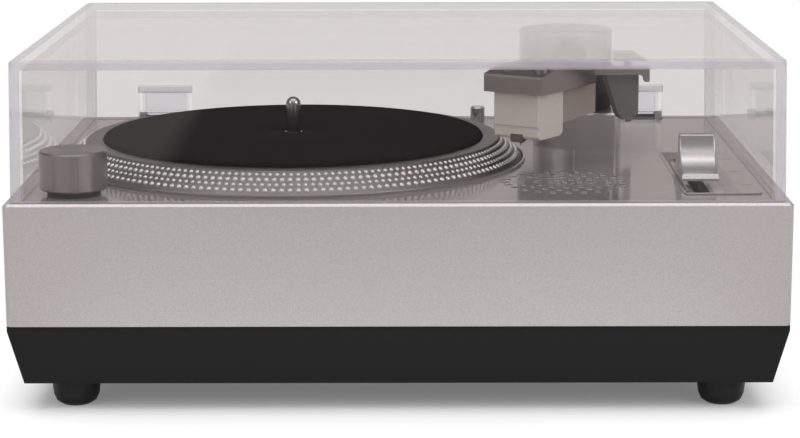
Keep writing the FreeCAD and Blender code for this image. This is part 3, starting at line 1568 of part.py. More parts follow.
def hinge_blade(side):
    """The clear blade of one hinge: a knuckle on the pin, a short leg and a tongue in the cover's socket."""
    axis = hinge_axis(side)
    half = hinge_notch_width / 2 - 0.3 - hinge_ear - 0.3
    knuckle = lying(V(axis.x - half, axis.y, axis.z), V(1, 0, 0), 2 * half, hinge_knuckle_radius)
    y1 = cover_y1 - cover_side
    tongue_y0 = y1 - socket_depth + socket_wall + blade_gap
    tongue_y1 = tongue_y0 + blade_thick
    room = socket_width / 2 - socket_wall - blade_gap
    leg_half = min(half, room)
    leg = box(axis.x - leg_half, axis.x + leg_half, tongue_y0, axis.y, axis.z - 2.1, axis.z - 0.3)
    tongue = box(axis.x - leg_half, axis.x + leg_half, tongue_y0, tongue_y1, axis.z - 2.1,
                 deck_z + socket_height - socket_roof - blade_gap)
    blade = fuse(knuckle, leg, tongue)
    return blade.cut(lying(V(axis.x - 20, axis.y, axis.z),
    V(1, 0, 0), 40, hinge_pin_radius + running_gap))


def hinge_screw_places():
    """The screws under the two hinge bases."""
    return [(side * hinge_x + screw * hinge_screw_spread / 2, plinth_depth / 2 - hinge_screw_inset)
            for side in (-1, 1) for screw in (-1, 1)]


def small_screws():
    """Eight equal small screws: four hold the circuit board, four come up from below into the hinge bases."""
    z = tray_floor_z + tray_wall + board_post + board_thick
    head = (small_head_radius, small_head_height)
    screws = [pan_screw(x, y, z, small_screw_length, small_screw_radius, *head, up=False) for x,
              y in board_holes()]
    shelf = deck_z - hinge_notch_depth - hinge_shelf
    for x, y in hinge_screw_places():
        screws.append(pan_screw(x, y, shelf, small_screw_length, small_screw_radius, *head))
    return screws


def main_board():
    """The circuit board on four posts of the tray."""
    z0 = tray_floor_z + tray_wall + board_post
    board = box(board_x - board_length / 2, board_x + board_length / 2, board_y - board_width / 2,
                board_y + board_width / 2, z0, z0 + board_thick)
    for x, y in board_holes():
        board = board.cut(rod(x, y, z0 - 1, z0 + 5, 1.2))
    return board


def board_parts():
    """The larger parts on the board: capacitors, coils, a chip with its heat sink and two plugs."""
    z0 = tray_floor_z + tray_wall + board_post + board_thick
    parts = []
    for index in range(4):
        parts.append(rod(board_x - 3 * capacitor_pitch + index * capacitor_pitch, board_y + 16, z0,
                         z0 + capacitor_height, capacitor_radius))
    parts.append(box(board_x - 28, board_x - 16, board_y - 6, board_y + 4, z0, z0 + chip_height))
    parts.append(box(board_x + 12, board_x + 30, board_y - 8, board_y - 4, z0, z0 + heat_sink_height))
    parts.append(rod(board_x, board_y - 12, z0, z0 + coil_height, coil_radius))
    for index in range(3):
        x = board_x - 24 + index * plug_pitch
        parts.append(box(x - 5, x + 5, board_y - 23, board_y - 18, z0, z0 + plug_height))
    return parts


def audio_sockets():
    """The two output sockets in the back wall."""
    sockets = []
    back = plinth_depth / 2
    z = band_z + socket_z
    for x, radius in socket_places()[1:]:
        body = lying(V(x, back - plinth_wall - socket_body, z), V(0, 1, 0), socket_body, radius + 1.6)
        sleeve = lying(V(x, back - plinth_wall - 0.5, z), V(0, 1, 0), plinth_wall + 0.5 - socket_back_gap,
                       radius)
        bore = lying(V(x, back - socket_back_gap - audio_bore_depth, z),
        V(0, 1, 0), 30, audio_bore_radius)
        sockets.append(fuse(body, sleeve).cut(bore))
    return sockets


def power_socket():
    """The power socket in the back wall, with its centre pin."""
    x, radius = socket_places()[0]
    back = plinth_depth / 2
    z = band_z + socket_z
    body = box(x - 6, x + 6, back - plinth_wall - socket_body, back - plinth_wall, z - 6, z + 6)
    sleeve = lying(V(x, back - plinth_wall - 0.5, z), V(0, 1, 0), plinth_wall + 0.5 - socket_back_gap,
                   radius)
    foot_y = back - socket_back_gap - power_bore_depth
    socket = fuse(body, sleeve).cut(lying(V(x, foot_y, z), V(0, 1, 0), 30, power_bore_radius))
    return fuse(socket, lying(V(x, foot_y - 1, z), V(0, 1, 0), power_bore_depth - 1, power_pin_radius))


def pieces():
    """Every piece of the turntable by name: one solid, or a list where identical ones share a name."""
    made = {
        "plinth_shell": plinth_shell(), "deck_plate": deck_plate(), "base_tray": base_tray(),
        "rubber_feet": rubber_feet(), "case_screws": case_screws(), "platter": platter(),
        "slip_mat": slip_mat(), "spindle": spindle(), "bearing_housing": bearing_housing(),
        "bearing_bush": bearing_bush(), "bearing_ball": bearing_ball(), "flange_screws": flange_screws(),
        "drive_belt": drive_belt(), "motor_plate": motor_plate(), "motor_grommets": motor_grommets(),
        "motor_can": motor_can(), "motor_shaft": motor_shaft(), "motor_pulley": motor_pulley(),
        "speaker_frame": speaker_frame(), "speaker_cone": speaker_cone(), "speaker_magnet": speaker_magnet(),
        "volume_knob": volume_knob(), "knob_ring": knob_ring(), "volume_pot": volume_pot(),
        "pot_shaft": pot_shaft(), "slider_bezel": slider_bezel(), "slide_pot": slide_pot(),
        "slider_stem": slider_stem(), "slider_cap": slider_cap(), "arm_base": arm_base(),
        "arm_bush": arm_bush(), "arm_nut": arm_nut(), "arm_shaft": arm_shaft(), "arm_circlip": arm_circlip(),
        "arm_neck": arm_neck(), "arm_pillar": arm_pillar(), "lift_pin": lift_pin(), "arm_tube": arm_tube(),
        "headshell": headshell(), "headshell_screws": headshell_screws(),
        "cartridge_front": cartridge_front(), "cartridge_body": cartridge_body(),
        "cartridge_terminals": cartridge_terminals(),
        "cartridge_wires": cartridge_wires(), "stylus_arm": stylus_arm(), "finger_lift": finger_lift(),
        "grip_plate": grip_plate(), "rest_bracket": rest_bracket(), "cue_bar": cue_bar(),
        "cue_lever": cue_lever(),
        "adaptor_peg": adaptor_peg(), "dust_cover": dust_cover(), "main_board": main_board(),
        "board_parts": board_parts(), "audio_sockets": audio_sockets(), "power_socket": power_socket(),
        "small_screws": small_screws(),
    }
    for node, maker in (("hinge_bases", hinge_base), ("hinge_pins", hinge_pin),
                        ("hinge_blades", hinge_blade)):
        made[node] = [maker(side) for side in (-1, 1)]
    return made


os.makedirs("parts", exist_ok=True)
for name, made in pieces().items():
    solids = made if isinstance(made, list) else [made]
    for solid in solids:
        if not solid.isValid() or len(solid.Solids) != 1:
            print("check", name, "valid", solid.isValid(), "solids", len(solid.Solids))
    shape = solids[0] if len(solids) == 1 else Part.makeCompound(solids)
    shape.exportStep("parts/" + name + ".step")
print("pieces", len(os.listdir("parts")))
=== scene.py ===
"""Looks of the turntable: camera, light, materials and the pieces that need finer surfaces than the CAD."""
import json
import math

import bpy
import numpy as np
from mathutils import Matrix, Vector


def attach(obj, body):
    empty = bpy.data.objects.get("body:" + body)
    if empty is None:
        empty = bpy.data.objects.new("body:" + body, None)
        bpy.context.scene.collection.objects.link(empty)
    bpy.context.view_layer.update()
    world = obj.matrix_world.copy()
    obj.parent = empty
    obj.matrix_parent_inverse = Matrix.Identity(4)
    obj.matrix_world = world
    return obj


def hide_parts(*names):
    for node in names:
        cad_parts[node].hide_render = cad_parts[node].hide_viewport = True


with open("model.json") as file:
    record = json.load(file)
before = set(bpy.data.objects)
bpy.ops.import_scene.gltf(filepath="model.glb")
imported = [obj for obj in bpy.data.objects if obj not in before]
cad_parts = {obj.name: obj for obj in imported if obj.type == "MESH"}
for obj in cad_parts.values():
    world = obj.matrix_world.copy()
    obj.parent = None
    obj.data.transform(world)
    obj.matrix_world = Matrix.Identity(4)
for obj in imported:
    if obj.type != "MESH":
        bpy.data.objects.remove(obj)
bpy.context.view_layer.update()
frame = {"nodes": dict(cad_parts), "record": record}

MM = 0.001

# Heights and places of the main pieces, in millimetres in the row frame
deck_z = 69.5
platter_x = -37.3
platter_y = -1.5
mat_radius = 66.7
mat_low = 7.2
mat_thick = 1.8
ring_radius = 72.3
ring_top = 7.6
lip_radius = 80.6
lip_top = 0.8
lip_low = 0.2
shaft_radius = 3.0
grille_x = 55.2
grille_y = -53.8
grille_pitch = 4.87
grille_hole = 1.2
edge_round = 0.14
cover_half_width = 123.1
cover_slope = 0.0222
cover_middle_y = -0.8
cover_half_depth = 90.0
cover_low = 69.8
cover_top = 114.9
cover_wall = 3.7
cover_roof = 2.9
hinge_x = 91.5
socket_half = 10.5
socket_front = 81.3
socket_top = 82.9
socket_roof = 2.4

# Platter: the walls under it, the bore over the spindle's shaft and the rounding of its edges
platter_under = 5.1
drum_outer = 60.0
drum_inner = 58.0
drum_low = -6.0
hub_radius = 8.0
hub_low = -5.0
bore_gap = 0.03
mat_seat_gap = 0.2
lip_width = 2.4
cone_wall = 1.2
edge_arc = 0.25

# Rows of dots: share of the way down the cone, number in the row, radius of a dot
dot_rows = ((0.15, 205, 0.7), (0.355, 184, 0.88), (0.56, 205, 0.72), (0.775, 184, 0.88))
dot_rise = 0.62
dot_sink = 0.08

# Mat: the wear of its edge as steps inward and down, the wear at its hole, and rings that keep its top even
mat_wear = ((1.9, 0.0), (0.9, 0.15), (0.3, 0.5), (0.0, 1.0))
mat_hole_gap = 0.4
hole_wear_out = 0.3
hole_wear_down = 0.2
mat_chamfer = 0.1
mat_rings = (20, 40, 60)

# Grille: rings of holes round the middle one
grille_rings = 4

# Acrylic: how far the marked edges reach past the panes, and its refraction
edge_slack = 0.1
wall_slack = 0.02
rim_line = 0.15
acrylic_ior = 1.4
edge_share = 0.5

# Camera: place in millimetres, height above the deck, turns in radians
camera_x = 4.73
camera_y = -806.44
camera_rise = 137.05
camera_tilt = 0.196
camera_roll = 0.003
camera_yaw = 0.005

# Studio, in metres: the floor runs back to a quarter circle that lifts it into the wall
floor_front = -3.0
floor_half_width = 4.0
curve_start = 1.6
curve_radius = 0.6
wall_height = 3.0
paper_white = "#f2f2f2"

# Where the floor and wall change, in metres: polished parts mirror a painted reflection of the floor and wall
# that gets darker towards the front and the top, and a painted glow turns the floor that is seen plain white
# behind and beside the part, which hides its shadow there, with a small share of glow below it
painted_reflection_floor_span = (-0.55, -0.2)
painted_reflection_wall_span = (0.65, 1.1)
painted_glow_behind_span = (0.15, 1.1)
painted_glow_beside_span = (0.119, 0.134)
painted_glow_under_share = 0.16

# What polished parts mirror, by angle from the front over the top to the back: share of the turn, grey
mirror_stops = ((0.0, 0.22), (1.0, 0.6), (0.2, 0.3), (0.3, 0.95), (0.52, 0.85), (0.6, 0.24), (0.75, 0.32),
                (0.94, 0.55))

# Lamps: name, place, the point it looks at, width, height, watts, and whether polished parts mirror it
lamps = (
    ("lamp_top", (0.0, -0.2, 1.3), (0, 0, 0.05), 1.6, 1.2, 13.5, False),
    ("lamp_strip", (0.0, -0.3, 1.3), (0, 0, 0.07), 1.5, 0.3, 1.9, True),
    ("lamp_left", (-1.2, -0.9, 0.8), (0, 0, 0.06), 0.8, 0.8, 4.5, True),
    ("lamp_right", (1.2, -0.9, 0.8), (0, 0, 0.06), 0.8, 0.8, 8.0, True),
)


def linear(code):
    """Linear colour from an sRGB hex code."""
    out = []
    for start in (1, 3, 5):
        c = int(code[start:start + 2], 16) / 255
        out.append(c / 12.92 if c <= 0.04045 else ((c + 0.055) / 1.055) ** 2.4)
    return (*out, 1.0)


# Camera: a long lens, 11 degrees above the deck, fitted to the plinth, cover and platter in the photograph
camera_data = bpy.data.cameras.new("camera")
camera_data.lens = 103.58
camera_data.sensor_width = 36.0
camera_data.clip_start = 0.05
camera_data.clip_end = 20.0
camera = bpy.data.objects.new("camera", camera_data)
camera.location = (camera_x * MM, camera_y * MM, (deck_z + camera_rise) * MM)
camera.rotation_euler = (math.pi / 2 - camera_tilt, camera_roll, camera_yaw)
bpy.context.scene.collection.objects.link(camera)
bpy.context.scene.camera = camera
bpy.context.scene.view_settings.view_transform = "Standard"


def add_node(tree, kind, settings=None, inputs=None, links=None):
    """Add one shader node, set its properties and sockets, and link sockets to other nodes' outputs."""
    node = tree.nodes.new(kind)
    for key, value in (settings or {}).items():
        setattr(node, key, value)
    for key, value in (inputs or {}).items():
        node.inputs[key].default_value = value
    for key, (source, output) in (links or {}).items():
        tree.links.new(source.outputs[output], node.inputs[key])
    return node


def new_material(name, color, metallic=0.0, roughness=0.5, **sockets):
    """A material with one Principled shader. Returns the material, its tree and the shader."""
    material = bpy.data.materials.new(name)
    material.use_nodes = True
    tree = material.node_tree
    shader = tree.nodes["Principled BSDF"]
    shader.inputs["Base Color"].default_value = linear(color)
    shader.inputs["Metallic"].default_value = metallic
    shader.inputs["Roughness"].default_value = roughness
    for key, value in sockets.items():
        shader.inputs[key.replace("_", " ")].default_value = value
    return material, tree, shader


def object_mapping(tree, scale=(1.0, 1.0, 1.0), move=(0.0, 0.0, 0.0)):
    """Object coordinates in millimetres through a Mapping node."""
    coordinates = add_node(tree, "ShaderNodeTexCoord")
    return add_node(tree, "ShaderNodeMapping", None,
                    {"Scale": tuple(1000.0 * s for s in scale), "Location": move},
                    {"Vector": (coordinates, "Object")})


def grain(tree, shader, size, low, high, scale=(1.0, 1.0, 1.0), detail=2.0):
    """Noise of a size in millimetres drives the roughness between low and high."""
    place = object_mapping(tree, scale)
    noise = add_node(tree, "ShaderNodeTexNoise", None, {"Scale": 1.0 / size, "Detail": detail},
                     {"Vector": (place, "Vector")})
    span = add_node(tree, "ShaderNodeMapRange", None, {"From Min": 0.3, "From Max": 0.7, "To Min": low,
                                                       "To Max": high},
                    {"Value": (noise, "Fac")})
    tree.links.new(span.outputs["Result"], shader.inputs["Roughness"])
    return noise


def bump(tree, shader, source, height, output="Fac", strength=1.0):
    """A bump of a height in millimetres from a node's output."""
    node = add_node(tree, "ShaderNodeBump", None, {"Strength": strength, "Distance": height * MM},
                    {"Height": (source, output)})
    tree.links.new(node.outputs["Normal"], shader.inputs["Normal"])
    return node


def tint(tree, shader, source, dark, light, low=0.35, high=0.65, output="Fac"):
    """A colour between two hex codes from a node's output."""
    ramp = add_node(tree, "ShaderNodeValToRGB", None, None, {"Fac": (source, output)})
    ramp.color_ramp.elements[0].position = low
    ramp.color_ramp.elements[1].position = high
    ramp.color_ramp.elements[0].color = linear(dark)
    ramp.color_ramp.elements[1].color = linear(light)
    tree.links.new(ramp.outputs["Color"], shader.inputs["Base Color"])
    return ramp


def sparkle_paint():
    """Satin metallic lacquer on the band: aluminium flakes give fine light and dark specks.

    Real flakes are usually finer than 0.05 mm. They are drawn 0.22 mm wide so that they show.
    """
    material, tree, shader = new_material("sparkle_lacquer", "#a9a5a1", 0.62, 0.34)
    place = object_mapping(tree)
    flakes = add_node(tree, "ShaderNodeTexNoise", None, {"Scale": 1 / 0.22, "Detail": 2.0, "Roughness": 0.6},
                      {"Vector": (place, "Vector")})
    tint(tree, shader, flakes, "#a39d9d", "#c9c3c3", 0.32, 0.68)
    bump(tree, shader, flakes, 0.01, strength=0.4)
    return material


def deck_lacquer():
    """Glossy silver lacquer on the deck: it mirrors what stands on it."""
    material, tree, shader = new_material("silver_gloss_lacquer", "#8b8582", 0.3, 0.11)
    grain(tree, shader, 0.8, 0.09, 0.14)
    return material


def cast_metal():
    """Cast aluminium of the platter: satin between its dots."""
    material, tree, shader = new_material("satin_cast_aluminium", "#908b8a", 0.95, 0.36)
    grain(tree, shader, 0.3, 0.33, 0.42)
    return material


def dot_metal():
    """The polished tops of the cast dots: a light colour with a half diffuse share, a painted highlight that
    keeps them bright from every side.
    """
    return new_material("polished_dots_painted_highlight", "#e9e7e4", 0.55, 0.2)[0]


def brushed_silver(name, color, roughness=0.3, stretch=0.7):
    """Drawn or turned metal with fine marks that stretch its highlights along the axis."""
    material, tree, shader = new_material(name, color, 0.95, roughness, Anisotropic=stretch,
                                          Anisotropic_Rotation=0.25)
    grain(tree, shader, 0.12, roughness - 0.04, roughness + 0.05, (1.0, 1.0, 0.1))
    way = add_node(tree, "ShaderNodeTangent", {"direction_type": "RADIAL", "axis": "Z"})
    tree.links.new(way.outputs["Tangent"], shader.inputs["Tangent"])
    return material


def felt():
    """Black felt: short matted fibres without gloss."""
    material, tree, shader = new_material("black_felt", "#1b191a", 0.0, 1.0, Specular_IOR_Level=0.05)
    place = object_mapping(tree)
    fibres = add_node(tree, "ShaderNodeTexNoise", None, {"Scale": 1 / 0.7, "Detail": 6.0, "Roughness": 0.75},
                      {"Vector": (place, "Vector")})
    tint(tree, shader, fibres, "#0d0b0c", "#1b191a", 0.35, 0.7)
    bump(tree, shader, fibres, 0.2, strength=0.6)
    return material


def moulded(name, color, roughness, grain_size=0.5, depth=0.02, gloss=0.5):
    """Moulded plastic with a fine texture of the tool."""
    material, tree, shader = new_material(name, color, 0.0, roughness, Specular_IOR_Level=gloss)
    noise = grain(tree, shader, grain_size, roughness - 0.05, roughness + 0.08)
    bump(tree, shader, noise, depth, strength=0.4)
    return material


def within(tree, source, low, high):
    """1 where a value lies between low and high."""
    middle = (low + high) / 2
    return add_node(tree, "ShaderNodeMath", {"operation": "COMPARE"}, {1: middle, 2: (high - low) / 2},
                    {0: source})


def clear_acrylic():
    """Clear acrylic panes: see-through film, a mirror by Fresnel, pale lavender where two panes meet.

    Lamps shine through. Each pane is found by its distance from the cover's middle, and where two of them
    overlap is an edge.
    """
    material, tree, shader = new_material("clear_acrylic", "#ffffff", 1.0, 0.02)
    place = object_mapping(tree, move=(0.0, -cover_middle_y, 0.0))
    axes = add_node(tree, "ShaderNodeSeparateXYZ", None, None, {"Vector": (place, "Vector")})
    wide = add_node(tree, "ShaderNodeMath", {"operation": "ABSOLUTE"}, None, {0: (axes, "X")})
    lean = add_node(tree, "ShaderNodeMath", {"operation": "MULTIPLY"}, {1: cover_slope}, {0: (axes, "Z")})
    side = add_node(tree, "ShaderNodeMath", {"operation": "ADD"}, None,
                    {0: (wide, "Value"), 1: (lean, "Value")})
    deep = add_node(tree, "ShaderNodeMath", {"operation": "ABSOLUTE"}, None, {0: (axes, "Y")})
    panes = (((side, "Value"), cover_half_width - cover_wall + cover_slope * cover_low),
             ((deep, "Value"), cover_half_depth - cover_wall),
             ((axes, "Z"), cover_top - cover_roof))
    total = None
    for source, limit in panes:
        over = add_node(tree, "ShaderNodeMath", {"operation": "GREATER_THAN"}, {1: limit}, {0: source})
        if total is None:
            total = over
        else:
            total = add_node(tree, "ShaderNodeMath", {"operation": "ADD"}, None,
                             {0: (total, "Value"), 1: (over, "Value")})
    low = add_node(tree, "ShaderNodeMath", {"operation": "LESS_THAN"}, {1: cover_low + rim_line},
                   {0: (axes, "Z")})
    total = add_node(tree, "ShaderNodeMath", {"operation": "ADD"}, None,
                     {0: (total, "Value"), 1: (low, "Value")})
    corner = add_node(tree, "ShaderNodeMath", {"operation": "GREATER_THAN"}, {1: 1.5},
                      {0: (total, "Value")})
    socket = within(tree, (wide, "Value"), 0.0, hinge_x + socket_half + edge_slack)
    spans = (("Y", socket_front - edge_slack, cover_half_depth - cover_wall - wall_slack),
             ("Z", cover_low, socket_top + edge_slack))
    for output, low_end, high_end in spans:
        inside = within(tree, (axes, output), low_end, high_end)
        socket = add_node(tree, "ShaderNodeMath", {"operation": "MULTIPLY"}, None,
                          {0: (socket, "Value"), 1: (inside, "Value")})
    roof = within(tree, (axes, "Z"), socket_top - socket_roof, socket_top + edge_slack)
    roof = add_node(tree, "ShaderNodeMath", {"operation": "MULTIPLY"}, None,
                    {0: (socket, "Value"), 1: (roof, "Value")})
    edge = add_node(tree, "ShaderNodeMath", {"operation": "MAXIMUM"}, None,
                    {0: (corner, "Value"), 1: (roof, "Value")})
    color = add_node(tree, "ShaderNodeMix", {"data_type": "RGBA"},
                     {6: linear("#ffffff"), 7: linear("#a69ea8")}, {0: (edge, "Value")})
    tree.links.new(color.outputs[2], shader.inputs["Base Color"])
    metal = add_node(tree, "ShaderNodeMath", {"operation": "SUBTRACT"}, {0: 1.0}, {1: (edge, "Value")})
    tree.links.new(metal.outputs["Value"], shader.inputs["Metallic"])
    face = add_node(tree, "ShaderNodeNewGeometry")
    index = add_node(tree, "ShaderNodeMix", {"data_type": "FLOAT"}, {2: acrylic_ior, 3: 1 / acrylic_ior},
                     {0: (face, "Backfacing")})
    fresnel = add_node(tree, "ShaderNodeFresnel", None, None, {"IOR": (index, 0)})
    share = add_node(tree, "ShaderNodeMix", {"data_type": "FLOAT"}, {3: edge_share},
                     {0: (edge, "Value"), 2: (fresnel, "Fac")})
    path = add_node(tree, "ShaderNodeLightPath")
    lit = add_node(tree, "ShaderNodeMath", {"operation": "SUBTRACT"}, {0: 1.0},
                   {1: (path, "Is Shadow Ray")})
    share = add_node(tree, "ShaderNodeMath", {"operation": "MULTIPLY"}, None,
                     {0: (share, 0), 1: (lit, "Value")})
    film = add_node(tree, "ShaderNodeMix", {"data_type": "RGBA"},
                    {6: linear("#f6f5f5"), 7: linear("#fefefe")},
                    {0: (socket, "Value")})
    through = add_node(tree, "ShaderNodeBsdfTransparent", None, None, {"Color": (film, 2)})
    mix = add_node(tree, "ShaderNodeMixShader", None, None, {"Fac": (share, "Value")})
    tree.links.new(through.outputs["BSDF"], mix.inputs[1])
    tree.links.new(shader.outputs["BSDF"], mix.inputs[2])
    tree.links.new(mix.outputs["Shader"], tree.nodes["Material Output"].inputs["Surface"])
    return material


def clear_part():
    """The clear blades of the hinges: thin, so almost without tint."""
    material, tree, shader = new_material("clear_moulding", "#c9c3d0", 0.0, 0.05)
    path = add_node(tree, "ShaderNodeLightPath")
    face = add_node(tree, "ShaderNodeLayerWeight", None, {"Blend": 0.25})
    lit = add_node(tree, "ShaderNodeMath", {"operation": "SUBTRACT"}, {0: 1.0},
                   {1: (path, "Is Shadow Ray")})
    share = add_node(tree, "ShaderNodeMath", {"operation": "MULTIPLY"}, None,
                     {0: (face, "Facing"), 1: (lit, "Value")})
    through = add_node(tree, "ShaderNodeBsdfTransparent", None, {"Color": linear("#fbfafc")})
    mix = add_node(tree, "ShaderNodeMixShader", None, None, {"Fac": (share, "Value")})
    tree.links.new(through.outputs["BSDF"], mix.inputs[1])
    tree.links.new(shader.outputs["BSDF"], mix.inputs[2])
    tree.links.new(mix.outputs["Shader"], tree.nodes["Material Output"].inputs["Surface"])
    return material


paint = sparkle_paint()
gloss = deck_lacquer()
cast = cast_metal()
# The dots are polished cast metal with a painted highlight: a light half diffuse colour
polished = dot_metal()
knob_metal = brushed_silver("turned_aluminium", "#9b9593", 0.32, 0.5)
arm_metal = brushed_silver("satin_nickel", "#a8a7aa", 0.26)
# Lacquers without a pattern: the cap shines in bands, the headshell is darker, the pedestal pale
cap_metal = new_material("satin_lacquer", "#cbc8c9", 0.9, 0.24)[0]
shell_metal = new_material("grey_metal_lacquer", "#948f8c", 0.9, 0.26)[0]
pedestal_metal = new_material("pedestal_lacquer", "#cfcacd", 0.9, 0.3)[0]
spindle_steel = new_material("polished_steel", "#bcbabb", 1.0, 0.14)[0]
# Ground, plated and turned metals of the small parts
steel = brushed_silver("ground_steel", "#a5a5a8", 0.28)
chrome = new_material("chrome_plate", "#d2d2d6", 1.0, 0.06)[0]
brass = brushed_silver("turned_brass", "#c9a45a", 0.25)
# Moulded plastics and rubber: soft gloss, with a faint texture of the tool
black_abs = moulded("black_abs", "#141213", 0.55, gloss=0.2)
rubber = moulded("black_rubber", "#0f0e0f", 0.45, 0.9, 0.02, gloss=0.3)
dark_abs = moulded("dark_grey_abs", "#625e5c", 0.36)
cream_abs = moulded("cream_abs", "#d3c9c3", 0.3, 0.5, 0.008)
taupe_abs = moulded("taupe_abs", "#9c9089", 0.38, 0.5, 0.01)
felt_black = felt()
acrylic = clear_acrylic()
smoke_abs = moulded("smoke_abs", "#a9a3ad", 0.25)
clear_blade = clear_part()
# Circuit board, loudspeaker cone and magnet, inside the case
board_green = moulded("solder_mask", "#1d5a34", 0.3)
paper = moulded("pressed_paper", "#2a2724", 0.9, 0.8, 0.1)
ferrite = moulded("ferrite", "#2b2b2d", 0.7)

looks = {
    "silver_paint": paint, "silver_gloss": gloss, "cast_aluminium": cast, "arm_silver": arm_metal,
    "headshell_grey": shell_metal, "steel": steel, "chrome": chrome, "brass": brass,
    "black_plastic": black_abs, "dark_plastic": dark_abs, "black_rubber": rubber, "black_felt": felt_black,
    "cream_plastic": cream_abs, "taupe_plastic": taupe_abs, "clear_acrylic": acrylic,
    "circuit_board": board_green, "speaker_paper": paper, "ferrite": ferrite,
}
own_looks = {
    "volume_knob": knob_metal, "slider_cap": cap_metal, "hinge_bases": smoke_abs, "hinge_blades": clear_blade,
    "arm_base": pedestal_metal, "spindle": spindle_steel,
}

for part in frame["record"]["subparts"]:
    thing = frame["nodes"][part["node"]]
    material = own_looks.get(part["node"], looks[part["material_slot"]])
    thing.data.materials.clear()
    thing.data.materials.append(material)


def new_object(name, points, faces, material, body):
    """A mesh object at the origin from points in millimetres, riding on a body."""
    mesh = bpy.data.meshes.new(name)
    mesh.from_pydata((np.asarray(points) * MM).tolist(), [], [list(map(int, f)) for f in faces])
    mesh.validate()
    mesh.shade_smooth()
    thing = bpy.data.objects.new(name, mesh)
    thing.data.materials.append(material)
    bpy.context.scene.collection.objects.link(thing)
    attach(thing, body)
    return thing


def grid_faces(rows, columns, wrap):
    """Quads between the points of a rows by columns grid; wrap joins the last column to the first."""
    r, c = np.meshgrid(np.arange(rows - 1), np.arange(columns if wrap else columns - 1), indexing="ij")
    n = (c + 1) % columns
    return np.stack([r * columns + c, r * columns + n, (r + 1) * columns + n, (r + 1) * columns + c],
                    -1).reshape(-1, 4)


def lathe(profile, centre, count):
    """Surface of revolution: point(i, a) = centre + (r_i cos a, r_i sin a, z_i), for a from 0 to 2 pi."""
    profile = np.asarray(profile, float)
    angle = np.arange(count) * 2 * np.pi / count
    points = np.stack([profile[:, :1] * np.cos(angle), profile[:, :1] * np.sin(angle),
                       np.repeat(profile[:, 1:], count, 1)], -1)
    return points.reshape(-1, 3) + np.asarray(centre), grid_faces(len(profile), count, True)


def rounded(profile, radius, steps=4):
    """Round each inner corner of a profile: a quadratic curve from radius before it to radius after it."""
    profile = [np.asarray(p, float) for p in profile]
    out = [profile[0]]
    for before, corner, after in zip(profile, profile[1:], profile[2:]):
        a = corner - before
        b = after - corner
        reach = min(radius, 0.45 * np.linalg.norm(a), 0.45 * np.linalg.norm(b))
        start = corner - a / np.linalg.norm(a) * reach
        end = corner + b / np.linalg.norm(b) * reach
        for t in np.linspace(0, 1, steps):
            out.append((1 - t) ** 2 * start + 2 * t * (1 - t) * corner + t ** 2 * end)
    out.append(profile[-1])
    return np.array(out)


def platter_rim():
    """The platter with four rows of small round dots on its cone, as one mesh each."""
    under = platter_under
    bore = shaft_radius + bore_gap
    seat = mat_radius + mat_seat_gap
    profile = [(bore, mat_low), (seat, mat_low), (seat, ring_top), (ring_radius, ring_top),
               (lip_radius, lip_top), (lip_radius, lip_low), (lip_radius - lip_width, lip_low),
               (ring_radius - cone_wall, under),
               (drum_outer, under), (drum_outer, drum_low), (drum_inner, drum_low), (drum_inner, under),
               (hub_radius, under), (hub_radius, hub_low), (bore, hub_low), (bore, mat_low)]
    profile = rounded(profile[::-1], edge_arc)
    points, faces = lathe(profile, (platter_x, platter_y, deck_z), 256)
    body = new_object("platter_disc", points, faces, cast, "platter_group")
    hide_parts("platter")

    slope = np.array([lip_radius - ring_radius, lip_top - ring_top])
    length = np.linalg.norm(slope)
    normal = np.array([-slope[1], slope[0]]) / length
    rings = 4
    sides = 10
    all_points = []
    all_faces = []
    base = 0
    for share, count, dot in dot_rows:
        centre = np.array([ring_radius, ring_top]) + slope * share
        lift = np.linspace(0, np.pi / 2, rings)
        turn = np.arange(sides) * 2 * np.pi / sides
        spread = dot * np.cos(lift)[:, None] * np.ones(sides)
        along_ring = spread * np.cos(turn)
        along_slope = spread * np.sin(turn)
        height = (dot_rise * dot * np.sin(lift) - dot_sink)[:, None] * np.ones(sides)
        radius = centre[0] + slope[0] / length * along_slope + normal[0] * height
        z = centre[1] + slope[1] / length * along_slope + normal[1] * height
        local = np.stack([radius.ravel(), along_ring.ravel(), z.ravel()], -1)
        angle = np.arange(count) * 2 * np.pi / count
        cos, sin = np.cos(angle)[:, None], np.sin(angle)[:, None]
        x = local[None, :, 0] * cos - local[None, :, 1] * sin
        y = local[None, :, 0] * sin + local[None, :, 1] * cos
        z = np.repeat(local[None, :, 2], count, 0)
        all_points.append(np.stack([x, y, z], -1).reshape(-1, 3) + (platter_x, platter_y, deck_z))
        faces = grid_faces(rings, sides, True)[:, ::-1]
        step = rings * sides
        all_faces.append((faces[None] + (np.arange(count) * step)[:, None, None] + base).reshape(-1, 4))
        base += count * step
    # The dots carry a painted highlight: their light half diffuse colour keeps them bright from every side
    dots = new_object("platter_dots", np.concatenate(all_points), np.concatenate(all_faces), polished,
                      "platter_group")


def felt_mat():
    """The slip mat: a disc of felt with a soft worn edge and a hole for the spindle."""
    low = mat_low
    top = mat_low + mat_thick
    hole = shaft_radius + mat_hole_gap
    profile = [(hole, low), (hole, top - hole_wear_down), (hole + hole_wear_out, top)]
    profile += [(radius, top) for radius in mat_rings]
    profile += [(mat_radius - inward, top - down) for inward, down in mat_wear]
    profile += [(mat_radius, low + mat_chamfer), (mat_radius - mat_chamfer, low), (hole, low)]
    points, faces = lathe(np.array(profile)[::-1], (platter_x, platter_y, deck_z), 192)
    mat = new_object("felt_mat", points, faces, felt_black, "platter_group")
    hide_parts("slip_mat")


